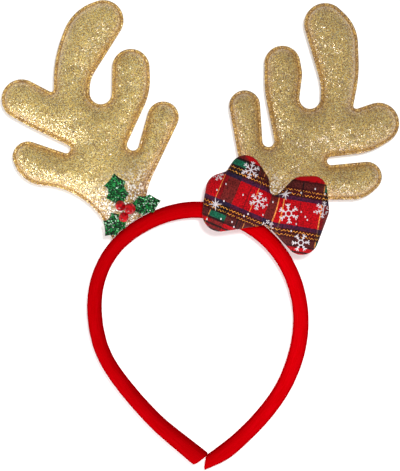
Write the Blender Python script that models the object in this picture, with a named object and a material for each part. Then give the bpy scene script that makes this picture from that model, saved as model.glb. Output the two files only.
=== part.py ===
"""Reindeer antler headband: a velvet band, two padded antlers, a padded bow and a holly sprig.

The headband lies on its back: +Y runs to the antler tips and +Z comes out of the front. Left
and right are as seen from the front, so left is -X, on the wearer's right. Lengths are in
metres. Every pattern below is a table of shares of one named size, so a pattern follows its
size, and each piece is seated on what carries it.
"""
import math

import bpy
import numpy as np
from mathutils import Vector
from mathutils.bvhtree import BVHTree
from mathutils.geometry import delaunay_2d_cdt

MM = 0.001

# Band, measured on its centre line
BAND_HALF_WIDTH = 56.3 * MM
BAND_RISE = 60.6 * MM
BAND_DROP = 76.7 * MM
BAND_BREADTH = 8.5 * MM
BAND_DEPTH = 10.5 * MM
BAND_SIDES = 16
BAND_STATIONS = 74
BAND_SECTION_POWER = 0.8
END_ROUND = 1.0 * MM
LEFT_END_SLANT_DEG = 13.0
RIGHT_END_SLANT_DEG = 36.0
END_SLANT_LENGTH = 9.0 * MM

# Antlers, height taken from the seat on the band to the highest tip
ANTLER_HEIGHT = 125.0 * MM
LEFT_SEAT_DEG = 38.3
LEFT_SEAT_SINK = 0.2 * MM
RIGHT_SEAT_DEG = -29.7
RIGHT_SEAT_SINK = 2.3 * MM
RIM_WIDTH = 1.7 * MM
RIM_THICKNESS = 1.2 * MM
PAD_RISE = 6.5 * MM
PAD_REACH = 8.0 * MM
PAD_REST_SHARE = 0.92

# Bow, width taken across both lobes
BOW_WIDTH = 69.3 * MM
BOW_RISE = 9.2 * MM
BOW_REACH = 8.5 * MM
BOW_EDGE = 1.0 * MM
BOW_BACK_SHARE = 0.5
BOW_PLACE = (0.119, 0.103)

# Holly sprig
LEAF_LENGTH = 18.0 * MM
LEAF_WIDTH = 11.6 * MM
LEAF_THICKNESS = 1.0 * MM
LEAF_VALLEY = 0.9 * MM
LEAF_CURL = 1.6 * MM
BERRY_DIAMETER = 5.8 * MM
BERRY_SEGMENTS = 12
BERRY_RINGS = 8
SPRIG_PLACE = (0.015, 0.55)

# Clearances
SEAT_GAP = 0.3 * MM
SEAT_MARGIN = 1.3 * MM
START_HEIGHT = 200.0 * MM
SEAT_NUDGE = 0.01 * MM
SEAT_NUDGE_SHARE = 0.25
SEAT_TRIES = 60

# Mesh steps. The ring shares say how far the rings on a pad's steep side lie between its
# seam and the middle of its narrowest tip; the shares after them are of the pad's step.
PAD_STEP = 3.7 * MM
RING_SHARES = (0.13, 0.46)
ANTLER_GRID_SHARE = 1.15
BOW_GRID_SHARE = 1.0
GRID_MARGIN_SHARE = 0.5
LONGEST_SHARE = 1.3
LEAST_STEP = 0.05 * MM
WELD = 0.001 * MM
ON_SEAM = 0.02 * MM
RIB_FROM = 0.06
RIB_TO = 0.93
RIB_POINTS = 7
LEAF_ARC_STEPS = 4
CURVE_STEPS = 40
FENCE_STEPS = 6
CROSSING_HALVINGS = 30
FILL_INSIDE = 1
SHARP_DEG = 50.0
TINY = 1e-18

# Centre line of the band, from its left end over the crown to its right end.
# across is a share of the half width; up is a share of the rise, or of the drop below zero;
# breadth is a share of the band's breadth.
BAND_ROUTE = (
    # name, across, up, breadth
    ("left_end", 0.012, -0.979, 1.20),
    ("left_tail", -0.199, -0.853, 1.12),
    ("left_tail_bend", -0.366, -0.750, 1.06),
    ("left_low", -0.505, -0.648, 1.03),
    ("left_flare", -0.732, -0.453, 1.0),
    ("left_temple_low", -0.913, -0.245, 0.97),
    ("left_widest", -1.0, 0.0, 0.97),
    ("left_temple", -0.982, 0.333, 0.95),
    ("left_shoulder", -0.822, 0.644, 0.95),
    ("left_crown", -0.535, 0.866, 1.0),
    ("crown", -0.074, 1.0, 1.07),
    ("right_crown", 0.531, 0.843, 1.08),
    ("right_shoulder", 0.789, 0.612, 1.02),
    ("right_temple", 0.946, 0.319, 1.0),
    ("right_widest", 1.0, 0.0, 1.01),
    ("right_temple_low", 0.950, -0.253, 1.05),
    ("right_flare", 0.810, -0.496, 1.02),
    ("right_low", 0.573, -0.724, 1.02),
    ("right_tail_bend", 0.420, -0.836, 1.02),
    ("right_tail", 0.233, -0.947, 1.03),
    ("right_end", 0.090, -1.005, 0.85),
)

# Rounded end of the band: inset is a share of its section, along a share of the rounding.
END_RINGS = (
    # inset, along
    (0.10, 0.65),
    (0.28, 1.0),
)

# Antler outlines run counter-clockwise as a belt laid over round pegs. A peg with turn 1 is
# inside the antler and makes a tip or a swelling; one with turn -1 is outside and makes a gap.
# Places and radii are shares of the antler's height, from its seat on the band.
LEFT_ANTLER = (
    # name, across, up, radius, turn
    ("base_inner", 0.029, -0.150, 0.022, 1),
    ("inner_side", 0.462, 0.075, 0.374, -1),
    ("tine_c_tip", 0.167, 0.485, 0.069, 1),
    ("gap_bc", 0.035, 0.365, 0.026, -1),
    ("tine_b_side", -0.172, 0.651, 0.282, 1),
    ("tine_b_tip", 0.026, 0.702, 0.082, 1),
    ("gap_ab", -0.106, 0.590, 0.048, -1),
    ("gap_ab_side", -0.009, 0.607, 0.145, -1),
    ("tine_a_tip", -0.095, 0.909, 0.089, 1),
    ("tine_a_curve", -0.075, 0.794, 0.204, 1),
    ("tine_a_side", 0.246, 0.642, 0.558, 1),
    ("notch_ad", -0.323, 0.607, 0.011, -1),
    ("tine_d_tip", -0.453, 0.563, 0.088, 1),
    ("tine_d_side", -0.220, 0.836, 0.440, 1),
    ("gap_de", -0.257, 0.345, 0.018, -1),
    ("tine_e_tip", -0.425, 0.312, 0.067, 1),
    ("tine_e_side", -0.348, 0.329, 0.145, 1),
    ("outer_side", -0.374, -0.145, 0.330, -1),
    ("base_outer", -0.020, -0.150, 0.022, 1),
)
RIGHT_ANTLER = (
    # name, across, up, radius, turn
    ("base_outer", -0.011, -0.172, 0.022, 1),
    ("outer_side", 0.339, -0.229, 0.330, -1),
    ("tine_e_side", 0.427, 0.242, 0.141, 1),
    ("tine_e_tip", 0.495, 0.202, 0.066, 1),
    ("gap_de", 0.339, 0.271, 0.018, -1),
    ("tine_d_side", 0.414, 0.594, 0.295, 1),
    ("tine_d_tip", 0.546, 0.436, 0.091, 1),
    ("notch_ad", 0.449, 0.513, 0.013, -1),
    ("tine_a_side", -0.110, 0.691, 0.570, 1),
    ("tine_a_curve", 0.268, 0.779, 0.189, 1),
    ("tine_a_tip", 0.312, 0.871, 0.092, 1),
    ("gap_ab_side", 0.029, 0.574, 0.264, -1),
    ("gap_ab", 0.246, 0.546, 0.046, -1),
    ("tine_b_bulge", 0.106, 0.651, 0.106, 1),
    ("tine_b_tip", 0.125, 0.697, 0.079, 1),
    ("tine_b_side", 0.618, 0.638, 0.572, 1),
    ("gap_bc", 0.064, 0.359, 0.026, -1),
    ("tine_c_tip", -0.040, 0.513, 0.068, 1),
    ("inner_side", -0.427, 0.194, 0.370, -1),
    ("base_inner", -0.040, -0.172, 0.022, 1),
)

# Bow outline, a belt as above. Places and radii are shares of the bow's width from its pinch.
BOW = (
    # name, across, up, radius, turn
    ("pinch_bottom", -0.032, -0.151, 0.032, -1),
    ("right_low_fold", 0.254, -0.222, 0.131, 1),
    ("right_fold", 0.341, 0.0, 0.127, 1),
    ("right_notch", 0.484, 0.123, 0.028, -1),
    ("right_top_fold", 0.341, 0.155, 0.111, 1),
    ("right_top", 0.254, 0.147, 0.115, 1),
    ("pinch_top", 0.044, 0.155, 0.040, -1),
    ("left_top", -0.103, 0.210, 0.103, 1),
    ("left_top_fold", -0.190, 0.306, 0.123, 1),
    ("left_top_notch", -0.349, 0.321, 0.020, -1),
    ("left_fold", -0.373, 0.159, 0.127, 1),
    ("left_notch", -0.536, 0.052, 0.016, -1),
    ("left_low_fold", -0.385, -0.028, 0.143, 1),
)

# Gathers of the bow: creases that run from a notch to the pinch. The softness says how
# gently a crease dips; all are shares of the bow's width.
BOW_CREASES = (
    # name, from across, from up, to across, to up, softness
    ("pinch", 0.005, -0.125, 0.005, 0.125, 0.042),
    ("left_upper", -0.340, 0.300, -0.060, 0.060, 0.075),
    ("left_lower", -0.520, 0.055, -0.070, 0.010, 0.075),
    ("right_upper", 0.455, 0.125, 0.080, 0.040, 0.075),
    ("right_lower", 0.440, -0.110, 0.080, -0.020, 0.085),
)

# Holly leaves: places are shares of the leaf length from the sprig's middle. length, left and
# right are shares of the leaf's length and of its width to either side of its midrib, and
# waist says how deeply its edge is hollowed between spikes, as a share of the width there.
LEAVES = (
    # name, across, up, heading_deg, pitch_deg, length, left, right, waist
    ("holly_leaf_top", -0.11, 0.07, 102.0, 2.0, 1.07, 1.26, 0.98, 0.27),
    ("holly_leaf_right", 0.15, 0.06, 13.0, -4.0, 0.96, 0.88, 0.99, 0.10),
    ("holly_leaf_low", 0.07, -0.17, 222.5, -6.0, 0.93, 0.80, 1.26, 0.22),
)
LEAF_SPIKES = (
    # along, side
    (0.34, 0.50),
    (0.70, 0.46),
)
LEAF_FOLD_POWER = 1.2
LEAF_BASE_HALF = 0.10
# Berries: places as above, size as a share of the berry's diameter.
BERRIES = (
    # name, across, up, size
    ("holly_berry_left", -0.138, 0.115, 0.97),
    ("holly_berry_low", -0.031, -0.225, 0.95),
    ("holly_berry_right", 0.155, 0.022, 1.08),
)


def clear_scene():
    for item in list(bpy.data.objects):
        bpy.data.objects.remove(item, do_unlink=True)


def material(name, colour, roughness, metallic=0.0):
    made = bpy.data.materials.new(name)
    made.use_nodes = True
    shader = made.node_tree.nodes["Principled BSDF"]
    shader.inputs["Base Color"].default_value = (*colour, 1.0)
    shader.inputs["Roughness"].default_value = roughness
    shader.inputs["Metallic"].default_value = metallic
    return made


def mesh_object(name, points, faces, surface, place, root):
    """Make one closed piece whose points are given about its own place."""
    mesh = bpy.data.meshes.new(name)
    mesh.from_pydata([tuple(point) for point in points], [], faces)
    mesh.materials.append(surface)
    mesh.shade_smooth()
    mesh.set_sharp_from_angle(angle=math.radians(SHARP_DEG))
    made = bpy.data.objects.new(name, mesh)
    made.location = place
    made.parent = root
    bpy.context.scene.collection.objects.link(made)
    return made


# Curves in the plane


def cubic_through(points, count):
    """Return count rows, evenly spaced in the plane, on the smooth curve through the points."""
    points = np.array(points)
    chord = np.hypot(*np.diff(points[:, :2], axis=0).T)
    knots = np.concatenate(([0.0], np.cumsum(chord)))
    last = len(points) - 1
    system = np.zeros((last + 1, last + 1))
    right = np.zeros_like(points)
    system[0, 0] = 1.0
    system[last, last] = 1.0
    for i in range(1, last):
        before, after = chord[i - 1], chord[i]
        system[i, i - 1:i + 2] = before, 2.0 * (before + after), after
        step_after = (points[i + 1] - points[i]) / after
        step_before = (points[i] - points[i - 1]) / before
        right[i] = 6.0 * (step_after - step_before)
    bend = np.linalg.solve(system, right)
    fine = np.linspace(0.0, knots[-1], CURVE_STEPS * last + 1)
    span = np.clip(np.searchsorted(knots, fine, side="right") - 1, 0, last - 1)
    length = chord[span][:, None]
    ahead = (knots[span + 1] - fine)[:, None]
    behind = (fine - knots[span])[:, None]
    curve = (bend[span] * ahead ** 3 + bend[span + 1] * behind ** 3) / (6.0 * length)
    curve += (points[span] / length - bend[span] * length / 6.0) * ahead
    curve += (points[span + 1] / length - bend[span + 1] * length / 6.0) * behind
    return spaced(curve, count)


def spaced(line, count):
    """Return count rows evenly spaced along an open line."""
    run = travelled(line)
    where = np.linspace(0.0, run[-1], count)
    return np.column_stack([np.interp(where, run, column) for column in line.T])


def travelled(line):
    """Return the distance along an open line at each of its rows."""
    return np.concatenate(([0.0], np.cumsum(np.hypot(*np.diff(line[:, :2], axis=0).T))))


def directions(line):
    """Return the unit direction of an open line at each of its points."""
    ahead = np.gradient(line, axis=0)
    return ahead / np.hypot(*ahead.T)[:, None]


def to_the_left(direction):
    return np.column_stack((-direction[:, 1], direction[:, 0]))


def belt(rows, size, inset, step):
    """Return the closed belt round a table of pegs, moved inwards by inset."""
    centres = [np.array(row[1:3]) * size for row in rows]
    bends = [row[4] * row[3] * size - inset for row in rows]
    count = len(rows)
    headings = []
    for i in range(count):
        run = centres[(i + 1) % count] - centres[i]
        change = (bends[(i + 1) % count] - bends[i]) / np.hypot(*run)
        headings.append(math.atan2(run[1], run[0]) - math.asin(max(-1.0, min(1.0, change))))
    points = []
    for i, row in enumerate(rows):
        turn = row[4]
        sweep = turn * ((turn * (headings[i] - headings[i - 1]) + 0.5 * math.pi) % math.tau)
        sweep -= turn * 0.5 * math.pi
        arcs = max(1, round(abs(sweep) * row[3] * size / step))
        for k in range(arcs + 1):
            heading = headings[i - 1] + sweep * k / arcs
            away = np.array((math.sin(heading), -math.cos(heading)))
            points.append(centres[i] + bends[i] * away)
    return without_repeats(filled(np.array(points), step))


def filled(points, step):
    """Add points to the long straight runs of a closed line."""
    out = []
    for here, there in zip(points, np.roll(points, -1, axis=0)):
        parts = max(1, math.ceil(np.hypot(*(there - here)) / (LONGEST_SHARE * step)))
        out.extend(here + (there - here) * k / parts for k in range(parts))
    return np.array(out)


def without_repeats(points):
    apart = np.hypot(*(np.roll(points, -1, axis=0) - points).T)
    return points[apart > LEAST_STEP]


def inside(points, fence):
    """Say which points lie inside a closed line."""
    start, end = fence, np.roll(fence, -1, axis=0)
    x, y = points[:, :1], points[:, 1:]
    spans = (start[:, 1] > y) != (end[:, 1] > y)
    rise = np.where(end[:, 1] == start[:, 1], 1.0, end[:, 1] - start[:, 1])
    crossing = start[:, 0] + (y - start[:, 1]) * (end[:, 0] - start[:, 0]) / rise
    return (spans & (x < crossing)).sum(axis=1) % 2 == 1


def segments(line, closed=True):
    start = line if closed else line[:-1]
    end = np.roll(line, -1, axis=0) if closed else line[1:]
    return np.hstack((start, end))


def nearest_distance(points, pieces):
    """Return each point's distance to the nearest of the segments."""
    start, run = pieces[:, :2], pieces[:, 2:] - pieces[:, :2]
    away = points[:, None, :] - start
    share = (away * run).sum(axis=2) / np.maximum((run ** 2).sum(axis=1), TINY)
    foot = away - np.clip(share, 0.0, 1.0)[:, :, None] * run
    return np.sqrt((foot ** 2).sum(axis=2)).min(axis=1)


def outside_run(line, fence):
    """Return the one run of a closed line that lies outside a fence, with both crossings."""
    within = inside(line, fence)
    starts = np.flatnonzero(within & ~np.roll(within, -1))
    line = np.roll(line, -int(starts[0]), axis=0)
    within = np.roll(within, -int(starts[0]))
    first = 1
    last = first + int(np.flatnonzero(within[first:])[0])
    enter = crossing_point(line[0], line[first], fence)
    leave = crossing_point(line[last], line[last - 1], fence)
    return np.vstack((enter, line[first:last], leave))


def crossing_point(within, beyond, fence):
    for _ in range(CROSSING_HALVINGS):
        middle = 0.5 * (within + beyond)
        if inside(middle[None, :], fence)[0]:
            within = middle
        else:
            beyond = middle
    return beyond


# Padding


def puff(points, seams, rise, reach):
    """Return how high stuffing lifts the cloth at each point between its seams.

    seams has a row for each straight stretch of seam: its two ends and its softness.
    """
    start, run = seams[:, :2], seams[:, 2:4] - seams[:, :2]
    length = np.hypot(*run.T)
    along = run / length[:, None]
    away = points[:, None, :] - start
    near = (away * along).sum(axis=2)
    far = near - length
    across = away[:, :, 0] * along[:, 1] - away[:, :, 1] * along[:, 0]
    depth = across ** 2 + seams[:, 4] ** 2
    near_end, far_end = np.sqrt(near ** 2 + depth), np.sqrt(far ** 2 + depth)
    beside = near / near_end - far / far_end
    beside = beside / np.maximum(depth, TINY)
    scale = (near * far_end + far * near_end) * near_end * far_end
    scale = np.where(np.abs(scale) < TINY, TINY, scale)
    beyond = (near ** 2 - far ** 2) / scale
    pull = np.where(near * far > 0.0, beyond, beside).sum(axis=1)
    room = np.sqrt(2.0 / np.maximum(pull, TINY))
    return rise * np.sqrt(1.0 - np.exp(-room / reach))


def seam_rows(line, softness=0.0):
    pieces = segments(line)
    return np.hstack((pieces, np.full((len(pieces), 1), softness)))


def hex_points(outline, spacing):
    """Return a triangular grid of points over the box of an outline."""
    low, high = outline.min(axis=0), outline.max(axis=0)
    row_step = spacing * math.sqrt(3.0) / 2.0
    points = []
    for row in range(math.ceil((high[1] - low[1]) / row_step)):
        shift = 0.5 * spacing * (row % 2)
        for column in range(math.ceil((high[0] - low[0]) / spacing)):
            points.append((low[0] + shift + column * spacing, low[1] + row * row_step))
    return np.array(points)


def triangulate(outline, runs, loose):
    """Return points and triangles that fill an outline and follow the runs inside it."""
    points = [Vector(point) for point in outline]
    count = len(outline)
    edges = [(i, (i + 1) % count) for i in range(count)]
    for run, closed in runs:
        first = len(points)
        points.extend(Vector(point) for point in run)
        last = len(run) if closed else len(run) - 1
        edges.extend((first + i, first + (i + 1) % len(run)) for i in range(last))
    points.extend(Vector(point) for point in loose)
    flat, _, faces, _, _, _ = delaunay_2d_cdt(points, edges, [], FILL_INSIDE, WELD)
    flat = np.array([tuple(point) for point in flat])
    faces = [tuple(face) for face in faces]
    used = sorted({corner for face in faces for corner in face})
    renumber = {old: new for new, old in enumerate(used)}
    return flat[used], [tuple(renumber[corner] for corner in face) for face in faces]


def two_sided(flat, faces, top, bottom):
    """Return points and faces of the closed solid between two heights over a flat mesh."""
    points = np.vstack((np.column_stack((flat, top)), np.column_stack((flat, bottom))))
    count = len(flat)
    turned = []
    for a, b, c in faces:
        side, other = flat[b] - flat[a], flat[c] - flat[a]
        area = side[0] * other[1] - side[1] * other[0]
        turned.append((a, b, c) if area > 0.0 else (a, c, b))
    edges = {(face[k], face[(k + 1) % 3]) for face in turned for k in range(3)}
    solid = list(turned)
    solid.extend((a + count, c + count, b + count) for a, b, c in turned)
    for a, b in sorted(edges):
        if (b, a) not in edges:
            solid.append((a, a + count, b + count, b))
    return points, solid


# Band


def band_line(count):
    """Return rows along the band: the two places of its centre line, and its breadth."""
    rows = []
    for _, across, up, breadth in BAND_ROUTE:
        height = up * (BAND_RISE if up > 0.0 else BAND_DROP)
        rows.append((across * BAND_HALF_WIDTH, height, breadth * BAND_BREADTH))
    return cubic_through(rows, count)


def band_section():
    """Return the band's rounded section: out in half breadths, and up from its middle."""
    power = BAND_SECTION_POWER
    rows = []
    for k in range(BAND_SIDES):
        angle = math.tau * (k + 0.5) / BAND_SIDES
        out, up = math.cos(angle), math.sin(angle)
        rows.append((math.copysign(abs(out) ** power, out), math.copysign(abs(up) ** power, up)))
    rows = np.array(rows)
    return rows / np.abs(rows).max(axis=0) * (1.0, 0.5 * BAND_DEPTH)


def build_band(surface, root):
    rows = band_line(BAND_STATIONS)
    line = rows[:, :2]
    ahead = directions(line)
    outward = to_the_left(ahead)
    run = travelled(line)
    section = band_section()
    rings = []
    for i in range(BAND_STATIONS):
        slant = end_slant(LEFT_END_SLANT_DEG, run[i]) + end_slant(RIGHT_END_SLANT_DEG, run[-1] - run[i])
        out = section[:, :1] * 0.5 * rows[i, 2]
        flat = line[i] + out * outward[i] + out * slant * ahead[i]
        rings.append(np.column_stack((flat, section[:, 1] + 0.5 * BAND_DEPTH)))
    left_cap = [end_ring(rings[0], -ahead[0], *row) for row in END_RINGS]
    right_cap = [end_ring(rings[-1], ahead[-1], *row) for row in END_RINGS]
    rings = left_cap[::-1] + rings + right_cap
    points = np.vstack(rings)
    faces = []
    for i in range(len(rings) - 1):
        for k in range(BAND_SIDES):
            here, there = i * BAND_SIDES, (i + 1) * BAND_SIDES
            after = (k + 1) % BAND_SIDES
            faces.append((here + k, here + after, there + after, there + k))
    faces.append(tuple(range(BAND_SIDES - 1, -1, -1)))
    faces.append(tuple(range(len(points) - BAND_SIDES, len(points))))
    return mesh_object("headband", points, faces, surface, (0.0, 0.0, 0.0), root)


def end_slant(slant_deg, run):
    """Return how far a section leans forward at a distance from the band's end."""
    return math.tan(math.radians(slant_deg)) * max(0.0, 1.0 - run / END_SLANT_LENGTH)


def end_ring(ring, away, inset, along):
    middle = ring.mean(axis=0)
    moved = middle + (ring - middle) * (1.0 - inset)
    moved[:, :2] += away * along * END_ROUND
    return moved


def band_fence(margin):
    """Return the closed line round the band's outer side, margin away from it."""
    rows = band_line(FENCE_STEPS * BAND_STATIONS)
    outward = to_the_left(directions(rows[:, :2]))
    return rows[:, :2] + outward * (0.5 * rows[:, 2:] + margin)


def seat_on_band(angle_deg, sink):
    """Return the point at an angle from straight up, sunk below the band's outer side."""
    fence = band_fence(-sink)
    fence = fence[fence[:, 1] > 0.0]
    angles = np.degrees(np.arctan2(-fence[:, 0], fence[:, 1]))[::-1]
    return np.array([np.interp(angle_deg, angles, fence[::-1, axis]) for axis in (0, 1)])


# Antlers


def pad_rings(rows, size, rim):
    """Return insets of the mesh's rings: the seam and two rings on the steep side."""
    least = min(row[3] for row in rows if row[4] > 0 and not row[0].startswith("base"))
    room = least * size - rim
    return [rim] + [rim + share * room for share in RING_SHARES]


def build_antler(name, rows, seat, surface, root):
    outline = belt(rows, ANTLER_HEIGHT, 0.0, PAD_STEP)
    insets = pad_rings(rows, ANTLER_HEIGHT, RIM_WIDTH)
    fence = band_fence(SEAT_GAP) - seat
    wide_fence = band_fence(SEAT_GAP + SEAT_MARGIN) - seat
    edge = outside_run(outline, fence)
    shore = seat_shore(edge[-1], edge[0], fence)
    outline = without_repeats(np.vstack((edge, shore)))
    runs = []
    for inset in insets:
        ring = belt(rows, ANTLER_HEIGHT, inset, PAD_STEP)
        runs.append((outside_run(ring, wide_fence), False))
    seams = seam_rows(belt(rows, ANTLER_HEIGHT, RIM_WIDTH, PAD_STEP))
    loose = hex_points(outline, ANTLER_GRID_SHARE * PAD_STEP)
    loose = loose[inside(loose, outline)]
    margin = GRID_MARGIN_SHARE * PAD_STEP
    deep = nearest_distance(loose, segments(outline)) > insets[-1] + margin
    loose = loose[deep & (nearest_distance(loose, segments(wide_fence)) > margin)]
    flat, faces = triangulate(outline, runs, loose)
    lift = puff(flat, seams, PAD_RISE, PAD_REACH)
    on_pad = inside(flat, seams[:, :2]) & (nearest_distance(flat, seams[:, :4]) > ON_SEAM)
    lift = np.where(on_pad, lift, 0.0)
    middle = 0.5 * RIM_THICKNESS + PAD_REST_SHARE * lift.max()
    top = middle + 0.5 * RIM_THICKNESS + lift
    bottom = np.maximum(middle - 0.5 * RIM_THICKNESS - lift, 0.0)
    points, solid = two_sided(flat, faces, top, bottom)
    return mesh_object(name, points, solid, surface, (*seat, 0.0), root)


def seat_shore(start, end, fence):
    """Return the points on the fence between two places on it, evenly spaced."""
    first = int(np.hypot(*(fence - start).T).argmin())
    last = int(np.hypot(*(fence - end).T).argmin())
    line = np.vstack((start, fence[first + 1:last], end))
    count = max(3, round(np.hypot(*np.diff(line, axis=0).T).sum() / PAD_STEP) + 1)
    return spaced(line, count)[1:-1]


# Bow


def build_bow(place, surface, root):
    outline = belt(BOW, BOW_WIDTH, 0.0, PAD_STEP)
    insets = pad_rings(BOW, BOW_WIDTH, 0.0)
    runs = [(belt(BOW, BOW_WIDTH, inset, PAD_STEP), True) for inset in insets[1:]]
    loose = hex_points(outline, BOW_GRID_SHARE * PAD_STEP)
    loose = loose[inside(loose, outline)]
    deep = nearest_distance(loose, segments(outline)) > insets[-1] + GRID_MARGIN_SHARE * PAD_STEP
    flat, faces = triangulate(outline, runs, loose[deep])
    creases = np.array([row[1:] for row in BOW_CREASES]) * BOW_WIDTH
    seams = np.vstack((seam_rows(outline), creases))
    lift = puff(flat, seams, BOW_RISE, BOW_REACH)
    lift = np.where(nearest_distance(flat, segments(outline)) > ON_SEAM, lift, 0.0)
    top = 0.5 * BOW_EDGE + lift
    bottom = -0.5 * BOW_EDGE - BOW_BACK_SHARE * lift
    points, solid = two_sided(flat, faces, top, bottom)
    return mesh_object("bow", points, solid, surface, (*place, 0.0), root)


# Holly


def leaf_outline(length, left, right, waist):
    """Return a holly leaf's outline about its base, along +X, with hollows between spikes."""
    upper = [(0.0, LEAF_BASE_HALF * left), *((along, side * left) for along, side in LEAF_SPIKES)]
    lower = [(0.0, LEAF_BASE_HALF * right), *((along, side * right) for along, side in LEAF_SPIKES)]
    corners = [(x, -y) for x, y in lower] + [(1.0, 0.0)] + upper[::-1]
    points = []
    for here, there in zip(corners, corners[1:] + corners[:1]):
        points.extend(hollow_arc(here, there, waist))
    return np.array(points) * (length, 1.0)


def hollow_arc(here, there, waist):
    """Return points from one spike to the next along an arc that bows towards the midrib."""
    here, there = np.array(here), np.array(there)
    pull = np.array((0.0, -waist * 0.5 * (here[1] + there[1])))
    out = []
    for k in range(LEAF_ARC_STEPS):
        share = k / LEAF_ARC_STEPS
        out.append(here + (there - here) * share + 4.0 * share * (1.0 - share) * pull)
    return out


def build_leaf(row, place, surface, root):
    name, across, up, heading_deg, pitch_deg, length, left, right, waist = row
    length = length * LEAF_LENGTH
    outline = leaf_outline(length, left * LEAF_WIDTH, right * LEAF_WIDTH, waist)
    rib = np.column_stack((np.linspace(RIB_FROM, RIB_TO, RIB_POINTS) * length, np.zeros(RIB_POINTS)))
    flat, faces = triangulate(outline, [(rib, False)], [])
    along = flat[:, 0] / length
    fold = LEAF_VALLEY * (np.abs(flat[:, 1]) / (0.5 * LEAF_WIDTH)) ** LEAF_FOLD_POWER
    middle = fold + LEAF_CURL * along ** 2 + flat[:, 0] * math.tan(math.radians(pitch_deg))
    points, solid = two_sided(flat, faces, middle + 0.5 * LEAF_THICKNESS, middle - 0.5 * LEAF_THICKNESS)
    spot = np.array(place) + np.array((across, up)) * LEAF_LENGTH
    leaf = mesh_object(name, points, solid, surface, (*spot, 0.0), root)
    leaf.rotation_euler.z = math.radians(heading_deg)
    return leaf


def build_berry(row, place, surface, root):
    name, across, up, size = row
    radius = 0.5 * size * BERRY_DIAMETER
    points = [(0.0, 0.0, -radius)]
    for ring in range(1, BERRY_RINGS):
        tilt = math.pi * ring / BERRY_RINGS
        for k in range(BERRY_SEGMENTS):
            turn = math.tau * k / BERRY_SEGMENTS
            flat = radius * math.sin(tilt)
            points.append((flat * math.cos(turn), flat * math.sin(turn), -radius * math.cos(tilt)))
    points.append((0.0, 0.0, radius))
    top = len(points) - 1
    faces = []
    for k in range(BERRY_SEGMENTS):
        after = (k + 1) % BERRY_SEGMENTS
        faces.append((0, 1 + after, 1 + k))
        for ring in range(BERRY_RINGS - 2):
            low = 1 + ring * BERRY_SEGMENTS
            high = low + BERRY_SEGMENTS
            faces.append((low + k, low + after, high + after, high + k))
        last = 1 + (BERRY_RINGS - 2) * BERRY_SEGMENTS
        faces.append((last + k, last + after, top))
    spot = np.array(place) + np.array((across, up)) * LEAF_LENGTH
    return mesh_object(name, points, faces, surface, (*spot, 0.0), root)


# Seating


def world_shape(piece):
    bpy.context.view_layer.update()
    points = [piece.matrix_world @ corner.co for corner in piece.data.vertices]
    faces = [tuple(face.vertices) for face in piece.data.polygons]
    return points, faces


def middles(points, faces):
    """Return the points of a shape with the middles of its faces' edges."""
    out = list(points)
    for face in faces:
        out.extend(0.5 * (points[a] + points[b]) for a, b in zip(face, face[1:] + face[:1]))
    return out


def seat(piece, carriers):
    """Lower a piece until it lies SEAT_GAP above what carries it."""
    piece.location.z = START_HEIGHT
    points, faces = world_shape(piece)
    own = BVHTree.FromPolygons(points, faces)
    down, up = Vector((0.0, 0.0, -1.0)), Vector((0.0, 0.0, 1.0))
    drops = []
    trees = []
    for carrier in carriers:
        under, under_faces = world_shape(carrier)
        tree = BVHTree.FromPolygons(under, under_faces)
        trees.append(tree)
        drops.extend(tree.ray_cast(point, down)[3] for point in middles(points, faces))
        drops.extend(own.ray_cast(point, up)[3] for point in middles(under, under_faces))
    piece.location.z = START_HEIGHT - min(drop for drop in drops if drop is not None)
    for _ in range(SEAT_TRIES):
        points, faces = world_shape(piece)
        near = min(tree.find_nearest(point)[3] for tree in trees for point in middles(points, faces))
        if near >= SEAT_GAP:
            break
        piece.location.z += SEAT_NUDGE_SHARE * (SEAT_GAP - near) + SEAT_NUDGE


def centre_root(root, pieces):
    """Move the root so that the whole stands on its box's bottom centre."""
    corners = np.array([tuple(point) for piece in pieces for point in world_shape(piece)[0]])
    low, high = corners.min(axis=0), corners.max(axis=0)
    root.location = (-0.5 * (low[0] + high[0]), -0.5 * (low[1] + high[1]), -low[2])


def main():
    clear_scene()
    root = bpy.data.objects.new("antler_headband_root", None)
    bpy.context.scene.collection.objects.link(root)
    velvet = material("red_velvet", (0.60, 0.01, 0.015), 0.85)
    glitter = material("gold_glitter_fabric", (0.62, 0.43, 0.19), 0.45, 0.5)
    tartan = material("red_tartan_cotton", (0.62, 0.03, 0.04), 0.8)
    leaf_green = material("green_glitter_sheet", (0.02, 0.17, 0.06), 0.4, 0.2)
    berry_red = material("red_gloss_plastic", (0.65, 0.01, 0.03), 0.15)

    band = build_band(velvet, root)
    left_seat = seat_on_band(LEFT_SEAT_DEG, LEFT_SEAT_SINK)
    right_seat = seat_on_band(RIGHT_SEAT_DEG, RIGHT_SEAT_SINK)
    left = build_antler("antler_left", LEFT_ANTLER, left_seat, glitter, root)
    right = build_antler("antler_right", RIGHT_ANTLER, right_seat, glitter, root)
    bow = build_bow(right_seat + np.array(BOW_PLACE) * BOW_WIDTH, tartan, root)
    seat(bow, [band, right])

    sprig = left_seat + np.array(SPRIG_PLACE) * LEAF_LENGTH
    carriers = [band, left]
    for row in LEAVES:
        leaf = build_leaf(row, sprig, leaf_green, root)
        seat(leaf, carriers)
        carriers.append(leaf)
    for row in BERRIES:
        berry = build_berry(row, sprig, berry_red, root)
        seat(berry, carriers)
        carriers.append(berry)
    centre_root(root, carriers + [right, bow])


main()
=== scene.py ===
"""Looks of the antler headband: glitter cloth, velvet, tartan with a snow print, and holly.

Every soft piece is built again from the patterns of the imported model, with finer steps, and
lies where its node lies. Lengths are in metres unless a comment says mm, and +Z comes out of
the headband's front.
"""
import math

import bmesh
import bpy
import numpy as np
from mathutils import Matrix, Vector, noise
from mathutils.bvhtree import BVHTree
from mathutils.geometry import delaunay_2d_cdt


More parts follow.
